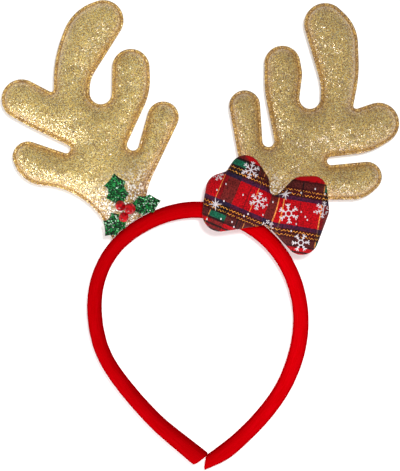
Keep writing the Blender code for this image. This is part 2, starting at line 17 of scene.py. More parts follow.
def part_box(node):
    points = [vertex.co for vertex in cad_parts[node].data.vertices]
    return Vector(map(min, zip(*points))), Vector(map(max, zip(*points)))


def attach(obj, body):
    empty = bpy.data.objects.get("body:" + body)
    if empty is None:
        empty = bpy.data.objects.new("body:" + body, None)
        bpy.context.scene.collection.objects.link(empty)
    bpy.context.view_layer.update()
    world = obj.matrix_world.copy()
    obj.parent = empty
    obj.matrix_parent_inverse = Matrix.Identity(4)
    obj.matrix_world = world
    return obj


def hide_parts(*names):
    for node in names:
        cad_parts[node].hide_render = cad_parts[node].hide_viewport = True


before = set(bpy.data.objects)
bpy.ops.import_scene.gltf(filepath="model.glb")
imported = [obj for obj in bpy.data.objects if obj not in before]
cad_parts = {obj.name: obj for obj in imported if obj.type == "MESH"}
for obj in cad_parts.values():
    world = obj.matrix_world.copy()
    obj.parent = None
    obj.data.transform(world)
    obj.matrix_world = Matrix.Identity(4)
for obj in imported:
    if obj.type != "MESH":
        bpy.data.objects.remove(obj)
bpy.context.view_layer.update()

MM = 0.001
TINY = 1e-18
GROUP_SIZE = 1500

# Band
BAND_HALF_WIDTH = 56.3 * MM
BAND_RISE = 60.6 * MM
BAND_DROP = 76.7 * MM
BAND_BREADTH = 8.5 * MM
BAND_DEPTH = 10.5 * MM
BAND_SECTION_POWER = 0.8
END_ROUND = 1.0 * MM
LEFT_END_SLANT_DEG = 13.0
RIGHT_END_SLANT_DEG = 36.0
END_SLANT_LENGTH = 9.0 * MM
END_TOUCH = 0.45 * MM
BAND_STATIONS = 520
BAND_SIDES = 40
NAP_DEPTH = 0.07 * MM
ROUTE_STEPS = 60
RUFFLE_PITCH = 5.0 * MM
SEAM_GROOVE = 0.35 * MM
SEAM_BEARING_DEG = 215.0
SEAM_SPREAD_DEG = 7.0

# The pile's streaks and the band's length, in mm
NAP_LENGTH = 11.0
NAP_WIDTH = 0.9
BAND_ALONG = 383.0
NAP_LIGHT_AND_SHADE = (
    # place along the band, tone: painted light and shade, darker on the band's left side and lighter on its
    # right, for how the pile catches the light
    (0.03, (0.74,) * 3),
    (0.20, (0.80,) * 3),
    (0.48, (0.86,) * 3),
    (0.62, (1.06,) * 3),
    (0.80, (1.12,) * 3),
    (0.97, (0.84,) * 3),
)

# Antlers
ANTLER_HEIGHT = 125.0 * MM
RIM_WIDTH = 1.7 * MM
RIM_THICKNESS = 1.2 * MM
PAD_RISE = 6.5 * MM
PAD_REACH = 8.0 * MM
PAD_REST_SHARE = 0.92
RIM_STEP = 0.9 * MM
PAD_GRID = 1.5 * MM
RING_INSETS = (0.3, 0.9, 1.4, 1.75, 2.15, 2.7, 3.4, 4.3, 5.4)  # mm
RIM_ROUND = 0.6 * MM
BAND_GAP = 0.12 * MM
SEAT_HOLD = 1.0 * MM
TUCK_REACH = 1.6 * MM
TUCK_SHARE = 0.2
PUCKER_DEPTH = 0.28 * MM
PUCKER_PITCH = 3.4 * MM
PUCKER_REACH = 4.5 * MM
LUMP_DEPTH = 0.3 * MM
LUMP_PITCH = 14.0 * MM

# Glitter
GOLD_FLAKE = 0.30 * MM
LEAF_FLAKE = 0.72 * MM
FLAKE_PATCH_PITCH = 9.0 * MM
FLAKE_CLUMP_PITCH = 1.0 * MM

# Near its seam the glitter clumps into brown and bright patches, the bright ones painted glints, and near
# its seat on the band it is darker, painted shade, with large white flakes as painted glints and large
# brown flakes. Both reaches are in mm.
SEAM_GLINT_REACH = 6.0
SEAT_SHADE_REACH = 34.0
SEAT_SHADE = 0.9
SEAT_SHADE_TONE = (0.86, 0.74, 0.62)
SEAT_FLAKE = 0.75 * MM
SEAT_GLINT_AND_BROWN_FLAKES = (
    # which of the flakes' chances from 0 to 1, colour: the white flakes are painted glints
    ("GREATER_THAN", 0.70, (1.0, 1.0, 0.96)),
    ("LESS_THAN", 0.26, (0.20, 0.075, 0.018)),
)
SEAM_CLUMP_GLINTS = ((0.40, (0.60, 0.46, 0.30)), (0.60, (1.25, 1.20, 1.10)))

# Stuffing
STUFFING_SCALE = 5.0
STUFFING_PRESSURE = 4.0
STUFFING_FRAMES = 20
STUFFING_CAP = 0.8 * MM
CLOTH_QUALITY = 6
SEAM_HOLD = 0.55 * MM
CLOTH_SLACK = 0.01

# Topstitch
STITCH_INSET = 1.5 * MM
STITCH_PITCH = 2.1 * MM
STITCH_LENGTH = 1.45 * MM
STITCH_RADIUS = 0.30 * MM
STITCH_SIDES = 6
STITCH_VALLEY = 0.16 * MM
STITCH_VALLEY_REACH = 0.3 * MM
STITCH_PROFILE = (
    # share of the length along, drop in radii, share of the radius
    (-0.5, -0.9, 0.45),
    (-0.38, -0.2, 0.9),
    (0.0, 0.0, 1.0),
    (0.38, -0.2, 0.9),
    (0.5, -0.9, 0.45),
)

# Bow
BOW_WIDTH = 69.3 * MM
BOW_RISE = 9.2 * MM
BOW_REACH = 8.5 * MM
BOW_EDGE = 1.0 * MM
BOW_EDGE_ROUND = 0.5 * MM
BOW_LEAST_EDGE = math.sqrt(0.05)
BOW_PINCH_HOLD = 2.5 * MM
GATHER_DEPTH = 0.55 * MM
GATHER_REACH = 16.0 * MM
GATHER_PITCH = 14.0 * MM
HEM_RIPPLE_DEPTH = 0.22 * MM
HEM_RIPPLE_PITCH = 3.0 * MM
HEM_RIPPLE_REACH = 4.0 * MM
BOW_BACK_SHARE = 0.5
BOW_STEP = 0.7 * MM
BOW_GRID = 0.85 * MM
BOW_INSETS = (0.2, 0.6, 1.2, 2.0, 3.0, 4.2)  # mm

# Holly
LEAF_LENGTH = 18.0 * MM
LEAF_WIDTH = 11.6 * MM
LEAF_THICKNESS = 1.0 * MM
LEAF_VALLEY = 0.9 * MM
LEAF_CURL = 1.6 * MM
LEAF_BASE_HALF = 0.10
LEAF_FOLD_POWER = 1.2
LEAF_ARC_STEPS = 14
LEAF_GRID = 0.45 * MM
VEIN_RISE = 0.22 * MM
VEIN_REACH = 0.32 * MM
CRUMPLE_DEPTH = 0.16 * MM
CRUMPLE_PITCH = 2.6 * MM
BERRY_SIDES = 48
BERRY_RINGS = 28
BERRY_DENT = 0.035
BERRY_DENTS = 2.2

BAND_ROUTE = (
    # name, across, up, breadth
    ("left_end", 0.012, -0.979, 1.20),
    ("left_tail", -0.199, -0.853, 1.12),
    ("left_tail_bend", -0.366, -0.750, 1.06),
    ("left_low", -0.505, -0.648, 1.03),
    ("left_flare", -0.732, -0.453, 1.0),
    ("left_temple_low", -0.913, -0.245, 0.97),
    ("left_widest", -1.0, 0.0, 0.97),
    ("left_temple", -0.982, 0.333, 0.95),
    ("left_shoulder", -0.822, 0.644, 0.95),
    ("left_crown", -0.535, 0.866, 1.0),
    ("crown", -0.074, 1.0, 1.07),
    ("right_crown", 0.531, 0.843, 1.08),
    ("right_shoulder", 0.789, 0.612, 1.02),
    ("right_temple", 0.946, 0.319, 1.0),
    ("right_widest", 1.0, 0.0, 1.01),
    ("right_temple_low", 0.950, -0.253, 1.05),
    ("right_flare", 0.810, -0.496, 1.02),
    ("right_low", 0.573, -0.724, 1.02),
    ("right_tail_bend", 0.420, -0.836, 1.02),
    ("right_tail", 0.233, -0.947, 1.03),
    ("right_end", 0.090, -1.005, 0.85),
)
END_RINGS = (
    # inset, along
    (0.03, 0.35),
    (0.10, 0.65),
    (0.28, 1.0),
    (0.55, 1.10),
    (0.80, 1.06),
)

LEFT_ANTLER = (
    # name, across, up, radius, turn
    ("base_inner", 0.029, -0.150, 0.022, 1),
    ("inner_side", 0.462, 0.075, 0.374, -1),
    ("tine_c_tip", 0.167, 0.485, 0.069, 1),
    ("gap_bc", 0.035, 0.365, 0.026, -1),
    ("tine_b_side", -0.172, 0.651, 0.282, 1),
    ("tine_b_tip", 0.026, 0.702, 0.082, 1),
    ("gap_ab", -0.106, 0.590, 0.048, -1),
    ("gap_ab_side", -0.009, 0.607, 0.145, -1),
    ("tine_a_tip", -0.095, 0.909, 0.089, 1),
    ("tine_a_curve", -0.075, 0.794, 0.204, 1),
    ("tine_a_side", 0.246, 0.642, 0.558, 1),
    ("notch_ad", -0.323, 0.607, 0.011, -1),
    ("tine_d_tip", -0.453, 0.563, 0.088, 1),
    ("tine_d_side", -0.220, 0.836, 0.440, 1),
    ("gap_de", -0.257, 0.345, 0.018, -1),
    ("tine_e_tip", -0.425, 0.312, 0.067, 1),
    ("tine_e_side", -0.348, 0.329, 0.145, 1),
    ("outer_side", -0.374, -0.145, 0.330, -1),
    ("base_outer", -0.020, -0.150, 0.022, 1),
)
RIGHT_ANTLER = (
    # name, across, up, radius, turn
    ("base_outer", -0.011, -0.172, 0.022, 1),
    ("outer_side", 0.339, -0.229, 0.330, -1),
    ("tine_e_side", 0.427, 0.242, 0.141, 1),
    ("tine_e_tip", 0.495, 0.202, 0.066, 1),
    ("gap_de", 0.339, 0.271, 0.018, -1),
    ("tine_d_side", 0.414, 0.594, 0.295, 1),
    ("tine_d_tip", 0.546, 0.436, 0.091, 1),
    ("notch_ad", 0.449, 0.513, 0.013, -1),
    ("tine_a_side", -0.110, 0.691, 0.570, 1),
    ("tine_a_curve", 0.268, 0.779, 0.189, 1),
    ("tine_a_tip", 0.312, 0.871, 0.092, 1),
    ("gap_ab_side", 0.029, 0.574, 0.264, -1),
    ("gap_ab", 0.246, 0.546, 0.046, -1),
    ("tine_b_bulge", 0.106, 0.651, 0.106, 1),
    ("tine_b_tip", 0.125, 0.697, 0.079, 1),
    ("tine_b_side", 0.618, 0.638, 0.572, 1),
    ("gap_bc", 0.064, 0.359, 0.026, -1),
    ("tine_c_tip", -0.040, 0.513, 0.068, 1),
    ("inner_side", -0.427, 0.194, 0.370, -1),
    ("base_inner", -0.040, -0.172, 0.022, 1),
)
BOW = (
    # name, across, up, radius, turn
    ("pinch_bottom", -0.032, -0.151, 0.032, -1),
    ("right_low_fold", 0.254, -0.222, 0.131, 1),
    ("right_fold", 0.341, 0.0, 0.127, 1),
    ("right_notch", 0.484, 0.123, 0.028, -1),
    ("right_top_fold", 0.341, 0.155, 0.111, 1),
    ("right_top", 0.254, 0.147, 0.115, 1),
    ("pinch_top", 0.044, 0.155, 0.040, -1),
    ("left_top", -0.103, 0.210, 0.103, 1),
    ("left_top_fold", -0.190, 0.306, 0.123, 1),
    ("left_top_notch", -0.349, 0.321, 0.020, -1),
    ("left_fold", -0.373, 0.159, 0.127, 1),
    ("left_notch", -0.536, 0.052, 0.016, -1),
    ("left_low_fold", -0.385, -0.028, 0.143, 1),
)
BOW_CREASES = (
    # name, from across, from up, to across, to up, softness
    ("pinch", 0.005, -0.125, 0.005, 0.125, 0.042),
    ("left_upper", -0.340, 0.300, -0.060, 0.060, 0.075),
    ("left_lower", -0.520, 0.055, -0.070, 0.010, 0.075),
    ("right_upper", 0.455, 0.125, 0.080, 0.040, 0.075),
    ("right_lower", 0.440, -0.110, 0.080, -0.020, 0.085),
)
LEAVES = (
    # name, heading_deg, pitch_deg, length, left, right, waist
    ("holly_leaf_top", 102.0, 2.0, 1.07, 1.26, 0.98, 0.27),
    ("holly_leaf_right", 13.0, -4.0, 0.96, 0.88, 0.99, 0.10),
    ("holly_leaf_low", 222.5, -6.0, 0.93, 0.80, 1.26, 0.22),
)
LEAF_SPIKES = (
    # along, side
    (0.34, 0.50),
    (0.70, 0.46),
)
BERRIES = ("holly_berry_left", "holly_berry_right", "holly_berry_low")

# Tartan of the bow. Its threads turn by some degrees between the lobes, about a point at the
# left of the right lobe. Widths are millimetres across the stripes.
TARTAN_MIDDLE = (41.8, 13.3)
LEFT_TURN_DEG = -23.0
RIGHT_TURN_DEG = -9.6
TURN_FROM = -6.0
TURN_TO = 5.0
TWILL_PITCH = 0.62
TWILL_SHARE = 0.24
THREADS = {
    "red": (0.410, 0.001, 0.005),
    "dark_red": (0.170, 0.003, 0.006),
    "navy": (0.009, 0.010, 0.034),
    "black": (0.006, 0.005, 0.006),
    "brown": (0.100, 0.014, 0.012),
    "green": (0.010, 0.135, 0.070),
    "orange": (0.850, 0.300, 0.070),
}
ZIGZAG_THREAD = (0.820, 0.350, 0.045)
WARP = (
    # thread in the field, thread in the border, width
    ("red", "brown", 11.0),
    ("orange", "orange", 0.5),
    ("dark_red", "green", 2.2),
    ("brown", "green", 7.0),
    ("red", "brown", 6.2),
    ("dark_red", "black", 0.6),
    ("red", "brown", 1.5),
    ("dark_red", "black", 0.5),
    ("red", "brown", 1.5),
    ("orange", "orange", 0.4),
    ("red", "brown", 7.6),
    ("brown", "green", 4.9),
    ("orange", "orange", 0.6),
    ("red", "brown", 2.6),
    ("orange", "orange", 0.4),
    ("red", "brown", 8.6),
    ("dark_red", "black", 0.5),
    ("red", "brown", 11.1),
    ("orange", "orange", 0.5),
    ("dark_red", "green", 1.6),
    ("brown", "green", 4.6),
    ("red", "brown", 6.0),
)
WARP_FROM = -45.0
WEFT_HALF = (
    # thread, width, share of the cloth that shows it, 1 where the warp shows its border thread
    ("red", 6.7, 0.10, 0),
    ("navy", 2.1, 0.88, 0),
    ("black", 4.9, 0.90, 0),
    ("black", 3.2, 0.24, 1),
    ("black", 1.2, 0.90, 0),
    ("red", 2.0, 0.20, 0),
    ("black", 1.0, 0.90, 0),
    ("red", 1.6, 0.20, 0),
    ("black", 0.8, 0.90, 0),
    ("red", 4.0, 0.20, 0),
)
ZIGZAGS = (
    # name, middle, height, pitch, thickness
    ("inner", 10.1, 0.45, 1.75, 0.17),
    ("outer", 12.3, 0.42, 1.60, 0.15),
)
PLAIN_PATCHES = (
    # name, across, up, half width, half height, turn_deg, in mm from the pinch
    ("right_top_hem", 21.4, 17.3, 9.6, 1.9, -5.0),
    ("left_top_hem", -9.0, 27.0, 5.0, 1.2, -32.0),
)

# Section of each printed bar
BAR_SECTION = (
    # share of the half thickness, height over the cloth
    (1.0, -0.12 * MM),
    (0.75, 0.10 * MM),
    (-0.75, 0.10 * MM),
    (-1.0, -0.12 * MM),
)

# Snow print. Lengths are in mm and places are in mm from the bow's pinch.
PRINT_STEP = 0.45
FLAKE_BARBS = {
    # kind: barbs as (along the arm, length), both shares of the radius
    "fern": ((0.42, 0.30), (0.72, 0.30)),
    "wheel": ((0.52, 0.18), (0.74, 0.32)),
    "star": (),
}
FLAKES = (
    # kind, across, up, radius, turn_deg, half thickness
    ("fern", -10.2, 21.4, 4.9, 14.0, 0.28),
    ("fern", -6.2, 4.6, 4.9, 14.0, 0.28),
    ("fern", 29.0, 0.0, 4.6, 20.0, 0.24),
    ("fern", -1.1, -8.8, 3.4, 30.0, 0.26),
    ("fern", -27.9, 18.7, 3.0, 10.0, 0.20),
    ("wheel", 10.1, -2.1, 5.4, 34.0, 0.31),
    ("wheel", 16.7, -17.8, 4.8, 2.0, 0.28),
    ("star", -29.4, 3.0, 3.5, 0.0, 0.50),
    ("star", 8.2, 8.7, 3.5, 10.0, 0.55),
)
WHEEL_SHARE = 0.29
WHEEL_SIDES = 18
STAR_SHORT_ARM = 0.72
STAR_TIP = 0.25
BARB_SWING_DEG = 48.0
DOT_RADIUS = 0.66
DOTS = (
    (-23.7, 13.9), (-28.6, 10.7), (-14.5, 8.0), (-24.8, 4.7), (-11.8, -2.3), (-14.0, -3.4),
    (-3.7, -2.8), (-26.4, -5.0), (-34.0, -5.0), (-20.4, -6.6), (-19.4, -9.3), (-15.0, 19.9),
    (1.7, 4.2), (-1.5, 2.6), (24.5, 11.2), (16.9, 9.1), (29.9, 8.5), (16.9, -1.2),
    (23.9, -1.2), (19.1, -3.9), (20.2, -5.5), (14.2, -7.7), (11.5, -11.5),
)

# Studio
FLOOR_HALF = 3.0
FLOOR_DROP = 0.05 * MM
WORLD_STRENGTH = 0.35
LAMPS = (
    # name, place, size, power, shadow, glints
    ("top_softbox", (0.20, 0.27, 1.3), 0.24, 12.8, True, False),
    ("key", (-0.30, -0.54, 0.36), 0.24, 4.6, False, True),
    ("side_key", (0.56, -0.36, 0.28), 0.16, 0.8, False, True),
)
CAMERA_PLACE = (-0.2 * MM, -0.45 * MM, 1200.0 * MM)
CAMERA_LENS = 166.8
CAMERA_SENSOR = 36.0


# Curves in the plane


def cubic_through(points, count):
    """Return count rows, evenly spaced in the plane, on the smooth curve through the points."""
    points = np.array(points)
    knots = travelled(points)
    chord = np.diff(knots)
    slope = np.diff(points, axis=0) / chord[:, None]
    last = len(chord)
    system = np.eye(last + 1)
    right = np.zeros_like(points)
    for i in range(1, last):
        system[i, i - 1:i + 2] = chord[i - 1], 2.0 * (chord[i - 1] + chord[i]), chord[i]
        right[i] = 6.0 * (slope[i] - slope[i - 1])
    bend = np.linalg.solve(system, right)
    fine = np.linspace(0.0, knots[-1], ROUTE_STEPS * last + 1)
    span = np.clip(np.searchsorted(knots, fine, side="right") - 1, 0, last - 1)
    length = chord[span][:, None]
    ahead = (knots[span + 1] - fine)[:, None]
    behind = (fine - knots[span])[:, None]
    curve = (bend[span] * ahead ** 3 + bend[span + 1] * behind ** 3) / (6.0 * length)
    curve += (points[span] / length - bend[span] * length / 6.0) * ahead
    curve += (points[span + 1] / length - bend[span + 1] * length / 6.0) * behind
    return spaced(curve, count)


def spaced(line, count):
    """Return count rows evenly spaced along an open line."""
    run = travelled(line)
    where = np.linspace(0.0, run[-1], count)
    return np.column_stack([np.interp(where, run, column) for column in line.T])


def travelled(line):
    """Return the distance along an open line at each of its rows."""
    return np.concatenate(([0.0], np.cumsum(np.hypot(*np.diff(line[:, :2], axis=0).T))))


def directions(line):
    ahead = np.gradient(line, axis=0)
    return ahead / np.hypot(*ahead.T)[:, None]


def to_the_left(direction):
    return np.column_stack((-direction[:, 1], direction[:, 0]))


def belt(rows, size, inset, step):
    """Return the closed belt round a table of pegs, moved inwards by inset."""
    centres = [np.array(row[1:3]) * size for row in rows]
    bends = [row[4] * row[3] * size - inset for row in rows]
    count = len(rows)
    headings = []
    for i in range(count):
        run = centres[(i + 1) % count] - centres[i]
        change = (bends[(i + 1) % count] - bends[i]) / np.hypot(*run)
        headings.append(math.atan2(run[1], run[0]) - math.asin(max(-1.0, min(1.0, change))))
    points = []
    for i, row in enumerate(rows):
        turn = row[4]
        sweep = turn * ((turn * (headings[i] - headings[i - 1]) + 0.5 * math.pi) % math.tau)
        sweep -= turn * 0.5 * math.pi
        arcs = max(1, round(abs(sweep) * row[3] * size / step))
        for k in range(arcs + 1):
            heading = headings[i - 1] + sweep * k / arcs
            away = np.array((math.sin(heading), -math.cos(heading)))
            points.append(centres[i] + bends[i] * away)
    return without_repeats(filled(np.array(points), step))


def filled(points, step):
    """Add points to the long straight runs of a closed line."""
    out = []
    for here, there in zip(points, np.roll(points, -1, axis=0)):
        parts = max(1, math.ceil(np.hypot(*(there - here)) / (1.3 * step)))
        out.extend(here + (there - here) * k / parts for k in range(parts))
    return np.array(out)


def without_repeats(points):
    apart = np.hypot(*(np.roll(points, -1, axis=0) - points).T)
    return points[apart > 0.05 * MM]


def in_groups(work):
    """Let a function of many points take them some at a time, so that they fit in memory."""
    def in_turn(points, *rest):
        firsts = range(0, len(points), GROUP_SIZE)
        return np.hstack([work(points[first:first + GROUP_SIZE], *rest) for first in firsts])
    return in_turn


@in_groups
def inside(points, fence):
    """Say which points lie inside a closed line."""
    start, end = fence, np.roll(fence, -1, axis=0)
    rise = np.where(end[:, 1] == start[:, 1], 1.0, end[:, 1] - start[:, 1])
    x, y = points[:, :1], points[:, 1:]
    spans = (start[:, 1] > y) != (end[:, 1] > y)
    crossing = start[:, 0] + (y - start[:, 1]) * (end[:, 0] - start[:, 0]) / rise
    return (spans & (x < crossing)).sum(axis=1) % 2 == 1


def segments(line, closed=True):
    start = line if closed else line[:-1]
    end = np.roll(line, -1, axis=0) if closed else line[1:]
    return np.hstack((start, end))


@in_groups
def nearest(points, pieces):
    """Return each point's distance to the nearest segment, and how far along them it lies."""
    start, run = pieces[:, :2], pieces[:, 2:4] - pieces[:, :2]
    length = np.hypot(*run.T)
    before = np.concatenate(([0.0], np.cumsum(length)[:-1]))
    away = points[:, None, :] - start
    share = np.clip((away * run).sum(axis=2) / np.maximum(length ** 2, TINY), 0.0, 1.0)
    foot = away - share[:, :, None] * run
    square = (foot ** 2).sum(axis=2)
    best = square.argmin(axis=1)
    which = np.arange(len(points))
    return np.sqrt(square[which, best]), before[best] + share[which, best] * length[best]


def outside_run(line, fence):
    """Return the one run of a closed line that lies outside a fence, with both crossings."""
    within = inside(line, fence)
    starts = np.flatnonzero(within & ~np.roll(within, -1))
    line = np.roll(line, -int(starts[0]), axis=0)
    within = np.roll(within, -int(starts[0]))
    last = 1 + int(np.flatnonzero(within[1:])[0])
    enter = crossing_point(line[0], line[1], fence)
    leave = crossing_point(line[last], line[last - 1], fence)
    return np.vstack((enter, line[1:last], leave))


def crossing_point(within, beyond, fence):
    for _ in range(30):
        middle = 0.5 * (within + beyond)
        if inside(middle[None, :], fence)[0]:
            within = middle
        else:
            beyond = middle
    return beyond


# Padding and meshes


def turned(points, turn_deg):
    """Return how far points lie along and across an axis turned by turn_deg."""
    turn = np.radians(turn_deg)
    x, y = points[:, 0], points[:, 1]
    return np.cos(turn) * x + np.sin(turn) * y, -np.sin(turn) * x + np.cos(turn) * y


def rounded(depth, radius):
    """Return how far up a quarter round of a radius lies at a depth behind its edge, 0 to 1."""
    return np.sqrt(1.0 - (1.0 - np.minimum(depth / radius, 1.0)) ** 2)


def hump(distance, reach):
    return np.exp(-(distance / reach) ** 2)


@in_groups
def puff(points, seams, rise, reach):
    """Return how high stuffing lifts the cloth at each point between its seams."""
    start, run = seams[:, :2], seams[:, 2:4] - seams[:, :2]
    length = np.hypot(*run.T)
    along = run / length[:, None]
    away = points[:, None, :] - start
    near = (away * along).sum(axis=2)
    far = near - length
    across = away[:, :, 0] * along[:, 1] - away[:, :, 1] * along[:, 0]
    depth = across ** 2 + seams[:, 4] ** 2
    near_end, far_end = np.sqrt(near ** 2 + depth), np.sqrt(far ** 2 + depth)
    beside = (near / near_end - far / far_end) / np.maximum(depth, TINY)
    scale = (near * far_end + far * near_end) * near_end * far_end
    scale = np.where(np.abs(scale) < TINY, TINY, scale)
    beyond = (near ** 2 - far ** 2) / scale
    pull = np.where(near * far > 0.0, beyond, beside).sum(axis=1)
    room = np.sqrt(2.0 / np.maximum(pull, TINY))
    return rise * np.sqrt(1.0 - np.exp(-room / reach))


def seam_rows(line):
    pieces = segments(line)
    return np.hstack((pieces, np.zeros((len(pieces), 1))))


def hex_points(outline, spacing, margin):
    """Return a triangular grid of points inside an outline, more than margin away from it."""
    low, high = outline.min(axis=0), outline.max(axis=0)
    row_step = spacing * math.sqrt(3.0) / 2.0
    points = []
    for row in range(math.ceil((high[1] - low[1]) / row_step)):
        shift = 0.5 * spacing * (row % 2)
        for column in range(math.ceil((high[0] - low[0]) / spacing)):
            points.append((low[0] + shift + column * spacing, low[1] + row * row_step))
    points = np.array(points)
    points = points[inside(points, outline)]
    return points[nearest(points, segments(outline))[0] > margin]


def triangulate(outline, runs, loose):
    """Return points and triangles that fill an outline and follow the runs inside it."""
    points = [Vector(point) for point in outline]
    count = len(outline)
    edges = [(i, (i + 1) % count) for i in range(count)]
    for run, closed in runs:
        first = len(points)
        points.extend(Vector(point) for point in run)
        last = len(run) if closed else len(run) - 1
        edges.extend((first + i, first + (i + 1) % len(run)) for i in range(last))
    points.extend(Vector(point) for point in loose)
    flat, _, faces, _, _, _ = delaunay_2d_cdt(points, edges, [], 1, 1e-6)
    flat = np.array([tuple(point) for point in flat])
    faces = np.array([tuple(face) for face in faces])
    used, faces = np.unique(faces, return_inverse=True)
    return flat[used], faces.reshape(-1, 3)


def two_sided(flat, faces, top, bottom):
    """Return points and faces of the closed solid between two heights over a flat mesh."""
    points = np.vstack((np.column_stack((flat, top)), np.column_stack((flat, bottom))))
    count = len(flat)
    side = flat[faces[:, 1]] - flat[faces[:, 0]]
    other = flat[faces[:, 2]] - flat[faces[:, 0]]
    area = side[:, 0] * other[:, 1] - side[:, 1] * other[:, 0]
    ccw = np.where((area > 0.0)[:, None], faces, faces[:, [0, 2, 1]])
    edges = np.vstack((ccw[:, [0, 1]], ccw[:, [1, 2]], ccw[:, [2, 0]]))
    keys = edges[:, 0].astype(np.int64) * count + edges[:, 1]
    back = edges[:, 1].astype(np.int64) * count + edges[:, 0]
    border = edges[~np.isin(keys, back)]
    solid = ccw.tolist() + (ccw[:, [0, 2, 1]] + count).tolist()
    solid.extend([a, a + count, b + count, b] for a, b in border.tolist())
    return points, solid


def tube(first, rings, sides, closed=False):
    """Return the faces of a tube whose rings of points are numbered on from first."""
    faces = []
    for ring in range(rings if closed else rings - 1):
        here, there = first + ring * sides, first + (ring + 1) % rings * sides
        for k in range(sides):
            after = (k + 1) % sides
            faces.append((here + k, here + after, there + after, there + k))
    if not closed:
        faces.append(tuple(range(first + sides - 1, first - 1, -1)))
        faces.append(tuple(range(first + (rings - 1) * sides, first + rings * sides)))
    return faces


def stuffed(points, faces, held):
    """Return where a padded piece's points end when stuffing presses its cloth out.

    The held points stay, and no point moves further than STUFFING_CAP. The trial cloth is
    larger than the piece by STUFFING_SCALE, so that its threads are long enough to bend well.
    """
    mesh = bpy.data.meshes.new("stuffing_trial")
    mesh.from_pydata((points * STUFFING_SCALE).tolist(), [], faces)
    trial = bpy.data.objects.new("stuffing_trial", mesh)
    scene = bpy.context.scene
    scene.collection.objects.link(trial)
    group = trial.vertex_groups.new(name="held")
    group.add(np.flatnonzero(held).tolist(), 1.0, "REPLACE")
    cloth = trial.modifiers.new("cloth", "CLOTH")
    rules = cloth.settings
    rules.quality = CLOTH_QUALITY
    rules.use_pressure = True
    rules.uniform_pressure_force = STUFFING_PRESSURE
    rules.shrink_min = -CLOTH_SLACK
    rules.vertex_group_mass = "held"
    rules.effector_weights.gravity = 0.0
    cloth.collision_settings.use_collision = False
    cloth.point_cache.frame_start = 1
    cloth.point_cache.frame_end = STUFFING_FRAMES
    for number in range(1, STUFFING_FRAMES + 1):
        scene.frame_set(number)
    shaped = trial.evaluated_get(bpy.context.evaluated_depsgraph_get())
    moved = np.empty(3 * len(points))
    shaped.data.vertices.foreach_get("co", moved)
    scene.frame_set(1)
    bpy.data.objects.remove(trial)
    bpy.data.meshes.remove(mesh)
    shift = moved.reshape(-1, 3) / STUFFING_SCALE - points
    length = np.linalg.norm(shift, axis=1)
    shift *= np.minimum(1.0, STUFFING_CAP / np.maximum(length, TINY))[:, None]
    return points + shift


def mesh_piece(name, points, faces, surface, smooth_deg=50.0):
    mesh = bpy.data.meshes.new(name)
    mesh.from_pydata([tuple(point) for point in points], [], faces)
    mesh.materials.append(surface)
    mesh.shade_smooth()
    mesh.set_sharp_from_angle(angle=math.radians(smooth_deg))
    made = bpy.data.objects.new(name, mesh)
    bpy.context.scene.collection.objects.link(made)
    return made


def wander(points, pitch, seed):
    """Return smooth noise between -1 and 1 at each point, with bumps about pitch apart."""
    scaled = np.column_stack((points / pitch, np.full(len(points), seed)))
    return np.array([noise.noise(Vector(row[:3])) for row in scaled])


# Materials


